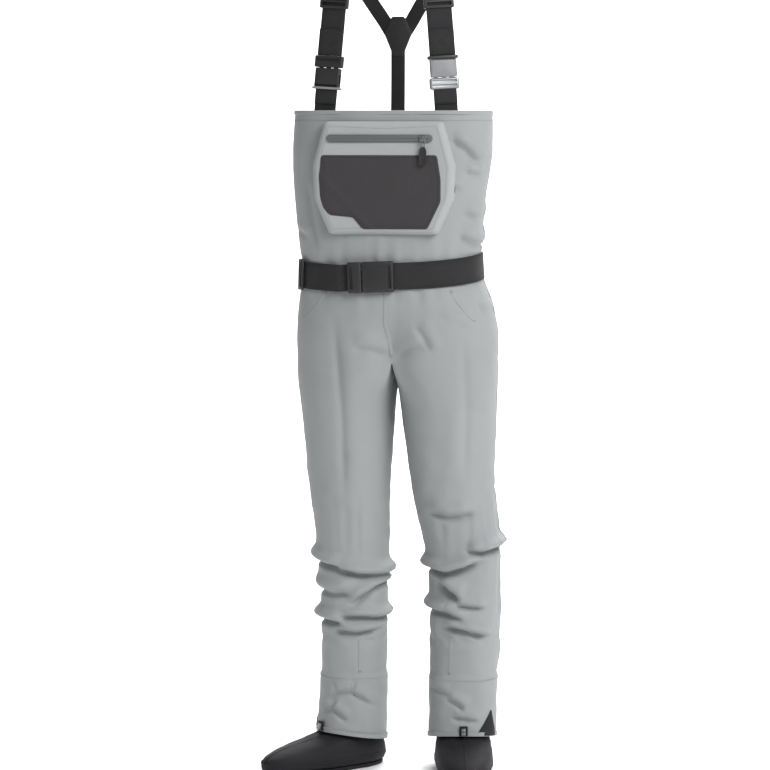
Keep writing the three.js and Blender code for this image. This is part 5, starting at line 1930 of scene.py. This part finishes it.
class WADERS_OT_yoke(bpy.types.Operator):
    """Six-sided yoke where the suspenders cross, the back strap, and its anchor inside the bib"""

    bl_idname = "waders.yoke"
    bl_label = "Yoke and back strap"

    def execute(self, context):
        low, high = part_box("yoke")
        middle = height(1.404)
        points = [
            (x, middle + z)
            for x, z in (
                (-0.012, 0.039),
                (0.012, 0.039),
                (0.027, 0.006),
                (0.009, -0.038),
                (-0.009, -0.038),
                (-0.027, 0.006),
            )
        ]
        yoke = slab("yoke_plate", rounded(points, 0.004, 4), low.y, high.y, "leather", 0.0009, 3)
        raised_panel(yoke, (0, -1, 0), 0.0035, 0.0005)
        raised_panel(yoke, (0, 1, 0), 0.0035, 0.0005)
        finish_piece(smooth_edges(yoke), "root", ("yoke",))
        rows = []
        for y, out in ((low.y - 0.0001, -1), (high.y + 0.0001, 1)):
            loop = resampled(
                rounded([(x * 0.87, middle + (z - middle) * 0.91) for x, z in points], 0.004, 4), 60
            )
            rows.append([(Vector((x, y, z)), Vector((0, out, 0))) for x, z in [*loop, loop[0]]])
        finish_piece(stitches("yoke_stitches", rows, "dark_thread", 0.0026), "root", ())
        low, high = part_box("back_strap")
        inner = torso_ring(1.150)[HALF_RING][1] - 0.0060
        lip = torso_ring(1.262)[HALF_RING][1] - 0.0068
        rows = [(0.1053, high.z + 0.012), (0.1053, high.z - 0.004), (0.1050, height(1.330)), (0.1030,
            height(1.280)), (lip, height(1.232)),
                (lip, height(1.205)), (inner, height(1.175)), (inner, low.z)]
        stations = [(Vector((0, y, z)), Vector((1, 0, 0)), Vector((0, -1, 0))) for y, z in rows]
        strap = webbing("back_strap_webbing", stations, 0.027, 0.0018)
        finish_piece(strap, "root", ("back_strap",))
        low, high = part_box("back_anchor")
        shape = (
            (-0.030, -0.024),
            (0.030, -0.024),
            (0.030, 0.010),
            (0.018, 0.024),
            (-0.018, 0.024),
            (-0.030, 0.010),
        )
        points = rounded([(x, height(1.176) + z) for x, z in shape], 0.005, 4)
        patch = slab("anchor_patch", points, high.y, low.y, "cloth", 0.0006, 2)
        finish_piece(smooth_edges(patch), "root", ("back_anchor",))
        loop = resampled(rounded([(x * 0.88, height(1.176) + z * 0.85) for x, z in shape], 0.005, 4), 60)
        row = [(Vector((x, low.y - 0.0001, z)), Vector((0, -1, 0))) for x, z in [*loop, loop[0]]]
        finish_piece(stitches("anchor_stitches", [row], "dark_thread"), "root", ())
        return {"FINISHED"}


class WADERS_OT_seams(bpy.types.Operator):
    """Taped seams on the suit, the bound top edge, and the guards' sewn top edge"""

    bl_idname = "waders.seams"
    bl_label = "Seams and edges"

    def execute(self, context):
        self.binding()
        self.body_seams()
        for side in SIDES:
            self.leg_seams(side)
        return {"FINISHED"}

    def rim_point(self, k, h):
        ring = torso_ring(h)
        x, y = ring[k % len(ring)]
        depth = section(TORSO, h)[3]
        dip = BACK_DIP * min(1, max(0, y / depth)) ** 2 * max(0.0, (h - BELT) / (BIB - BELT))
        return Vector((x, y, height(h) - dip))

    def binding(self):
        stations, rows = [], []
        for k in range(HALF_RING, 3 * HALF_RING + 1):
            top, low = self.rim_point(k, BIB), self.rim_point(k, BIB - 0.012)
            up = (top - low).normalized()
            ahead = self.rim_point(k + 1, BIB) - self.rim_point(k - 1, BIB)
            out = ahead.cross(up).normalized()
            stations.append((top - up * 0.0035 - out * 0.0006, up, out))
            rows.append((top - up * 0.0185 + out * 0.0004, out))
        edge = webbing("bib_bound_edge", stations, 0.008, 0.0026, "cloth", 0.008)
        finish_piece(edge, "root", ())
        finish_piece(stitches("bib_hem_stitches", [self.drop(rows)], "thread"), "root", ())

    def drop(self, rows):
        return [(at, out) for at, out in (self.nearest(at, out) for at, out in rows)]

    def nearest(self, at, out):
        hit, normal, _, _ = SUIT["tree"].find_nearest(at)
        return hit, (normal if normal.dot(out) > 0 else -normal)

    def body_seams(self):
        lines = {
            "front": front_line([(0.004, h) for h in (0.932, 0.918, 0.90, 0.88, 0.86)] + [(0.010, 0.84),
            (0.013, 0.82), (0.014, 0.80)]),
            "back": front_line([(0.006, h) for h in np.linspace(1.190, 0.80, 22)], (0, -1, 0)),
        }
        for side, sign in SIDES.items():
            lines[f"{side}_side"] = [
                on_suit((sign * 0.6, 0.012, height(h)), (-sign, 0, 0)) for h in np.linspace(1.246, 0.796, 30)
            ]
            lines[f"{side}_hip"] = front_line(
                [
                    (sign * x + 0.008, h)
                    for x, h in ((0.118, 0.925), (0.134, 0.900), (0.150, 0.880), (0.163, 0.868))
                ]
            )
        welts = [welt(f"{name}_welt", line, 0.006, 0.0006) for name, line in lines.items()]
        seams = add_to(*welts)
        seams.name = "body_seams"
        finish_piece(seams, "root", ())

    def leg_seams(self, side):
        sign = SIDES[side]

        def centre(h):
            return section(LEGS[side], h)[0]

        def down(places, direction):
            out = []
            for x, h in places:
                out.append(on_suit(Vector((x, 0, height(h))) - Vector(direction) * 0.6, direction))
            return out

        def outer(heights):
            return [
                on_suit((centre(h) + sign * 0.4, section(LEGS[side], h)[1] + 0.01, height(h)), (-sign, 0, 0))
                for h in heights
            ]

        upper = [outer(np.linspace(0.786, 0.549, 22))]
        lower = [outer(np.linspace(0.541, 0.190, 40))]
        lower.append(down([(centre(h) - 0.020 * sign, h) for h in np.linspace(0.262, 0.190, 8)], (0, 1, 0)))
        for name, lines, bend in (("upper", upper, bend_hip), ("lower", lower, bend_knee)):
            obj = add_to(
                *[welt(f"{side}_{name}_welt_{k}", line, 0.006, 0.0006) for k, line in enumerate(lines)]
            )
            obj.name = f"{side}_{name}_leg_seams"
            bend(obj, side)
        ring = []
        for k in range(65):
            a = 2 * math.pi * k / 64
            cx, cy = section(LEGS[side], 0.178)[:2]
            out = Vector((math.cos(a), math.sin(a), 0))
            z = height(0.177 + HEM_ARCH * math.cos(a + math.pi / 2 - TOE_OUT[side]) * 0.026)
            hit, normal, _, _ = SUIT["tree"].ray_cast(Vector((cx, cy, z)) + out * 0.4, -out)
            ring.append((hit, normal if normal.dot(out) > 0 else -normal))
        guard = stitches(f"{side}_guard_stitches", [ring], "thread")
        finish_piece(guard, f"{side}_shin", ())


# ---- stage ----
WORLD_STRENGTH = 0.46
SENSOR_MM, LENS_MM = 36, 147.4
CAMERA_AZIMUTH = 7.5  # degrees
CAMERA_DISTANCE, CAMERA_HEIGHT, CAMERA_SIDE = 6.02, 1.262, -0.0116
AIM_HEIGHT = 0.738
# each light's name, place, aim, size and power
LIGHTS = (
    ("key", (2.9, -2.7, 1.9), (0, 0, -0.75), 2.4, 195),
    ("backdrop", (0.5, 5.0, 4.6), (0, 8.0, -1.5), 5.0, 1300),
    ("floor", (0.0, 1.6, 3.2), (0, 2.6, -1.5), 2.4, 90),
)


class WADERS_OT_stage(bpy.types.Operator):
    """Pale floor and backdrop, soft lights and the camera"""

    bl_idname = "waders.stage"
    bl_label = "Studio stage"

    def execute(self, context):
        self.floor()
        self.lights()
        self.camera()
        return {"FINISHED"}

    def floor(self):
        z = SOLE_Z - 0.0004
        profile = [(-12.0, z), (9.0, z)]
        for k in range(1, 17):
            a = math.pi / 2 * k / 16
            profile.append((9.0 + 3.0 * math.sin(a), z + 3.0 - 3.0 * math.cos(a)))
        profile.append((12.0, z + 9.0))
        points = [(x, y, h) for y, h in profile for x in (-12.0, 12.0)]
        faces = [(2 * k, 2 * k + 1, 2 * k + 3, 2 * k + 2) for k in range(len(profile) - 1)]
        floor = new_object("studio_floor", points, faces, look="cloth")
        floor.data.materials.clear()
        pale, nodes, shader = new_material("Pale paper")
        place_out = nodes.add("ShaderNodeTexCoord").outputs["Object"]
        tone = use_group(
            nodes, "mottle", Vector=place_out, Scale=0.7, Colour=(0.86, 0.86, 0.86), Strength=0.01
        )
        nodes.link(tone.outputs["Colour"], shader.inputs["Base Color"])
        shader.inputs["Roughness"].default_value = 0.95
        floor.data.materials.append(pale)

    def lights(self):
        world = bpy.data.worlds.new("Studio")
        world.use_nodes = True
        world.node_tree.nodes["Background"].inputs["Color"].default_value = (1, 1, 1, 1)
        world.node_tree.nodes["Background"].inputs["Strength"].default_value = WORLD_STRENGTH
        bpy.context.scene.world = world
        bpy.context.scene.view_settings.view_transform = "Standard"
        for name, at, aim, size, power in LIGHTS:
            data = bpy.data.lights.new(name, "AREA")
            data.size, data.energy = size, power
            light = bpy.data.objects.new(name, data)
            light.location = at
            light.rotation_euler = (Vector(aim) - Vector(at)).to_track_quat("-Z", "Y").to_euler()
            bpy.context.scene.collection.objects.link(light)

    def camera(self):
        data = bpy.data.cameras.new("camera")
        data.sensor_width = SENSOR_MM
        data.lens = LENS_MM
        camera = bpy.data.objects.new("camera", data)
        azimuth, distance = math.radians(CAMERA_AZIMUTH), CAMERA_DISTANCE
        aim_z = height(AIM_HEIGHT)
        side = CAMERA_SIDE
        right = Vector((math.cos(azimuth), math.sin(azimuth), 0))
        away = Vector((math.sin(azimuth), -math.cos(azimuth), 0))
        camera.location = away * distance + right * side + Vector((0, 0, height(CAMERA_HEIGHT)))
        target = right * side + Vector((0, 0, aim_z))
        camera.rotation_euler = (target - camera.location).to_track_quat("-Z", "Y").to_euler()
        bpy.context.scene.collection.objects.link(camera)
        bpy.context.scene.camera = camera


class WADERS_PT_panel(bpy.types.Panel):
    """The waders' sizes, colours and pieces"""

    bl_idname = "WADERS_PT_panel"
    bl_label = "Chest waders"
    bl_space_type = "VIEW_3D"
    bl_region_type = "UI"
    bl_category = "Waders"

    def draw(self, context):
        for group in (context.scene.wader_sizes, context.scene.wader_colours):
            for name in group.__annotations__:
                self.layout.prop(group, name)
        for operator in OPERATORS:
            self.layout.operator(operator.bl_idname)


OPERATORS = (
    WADERS_OT_suit,
    WADERS_OT_seams,
    WADERS_OT_hems,
    WADERS_OT_feet,
    WADERS_OT_pocket,
    WADERS_OT_belt,
    WADERS_OT_suspenders,
    WADERS_OT_yoke,
    WADERS_OT_stage,
)
CLASSES = (WaderSizes, WaderColours, *OPERATORS, WADERS_PT_panel)


def register():
    for cls in CLASSES:
        bpy.utils.register_class(cls)
    bpy.types.Scene.wader_sizes = bpy.props.PointerProperty(type=WaderSizes)
    bpy.types.Scene.wader_colours = bpy.props.PointerProperty(type=WaderColours)


def unregister():
    del bpy.types.Scene.wader_colours
    del bpy.types.Scene.wader_sizes
    for cls in reversed(CLASSES):
        bpy.utils.unregister_class(cls)


def main():
    register()
    for operator in OPERATORS:
        group, name = operator.bl_idname.split(".")
        getattr(getattr(bpy.ops, group), name)()


if __name__ == "__main__":
    main()
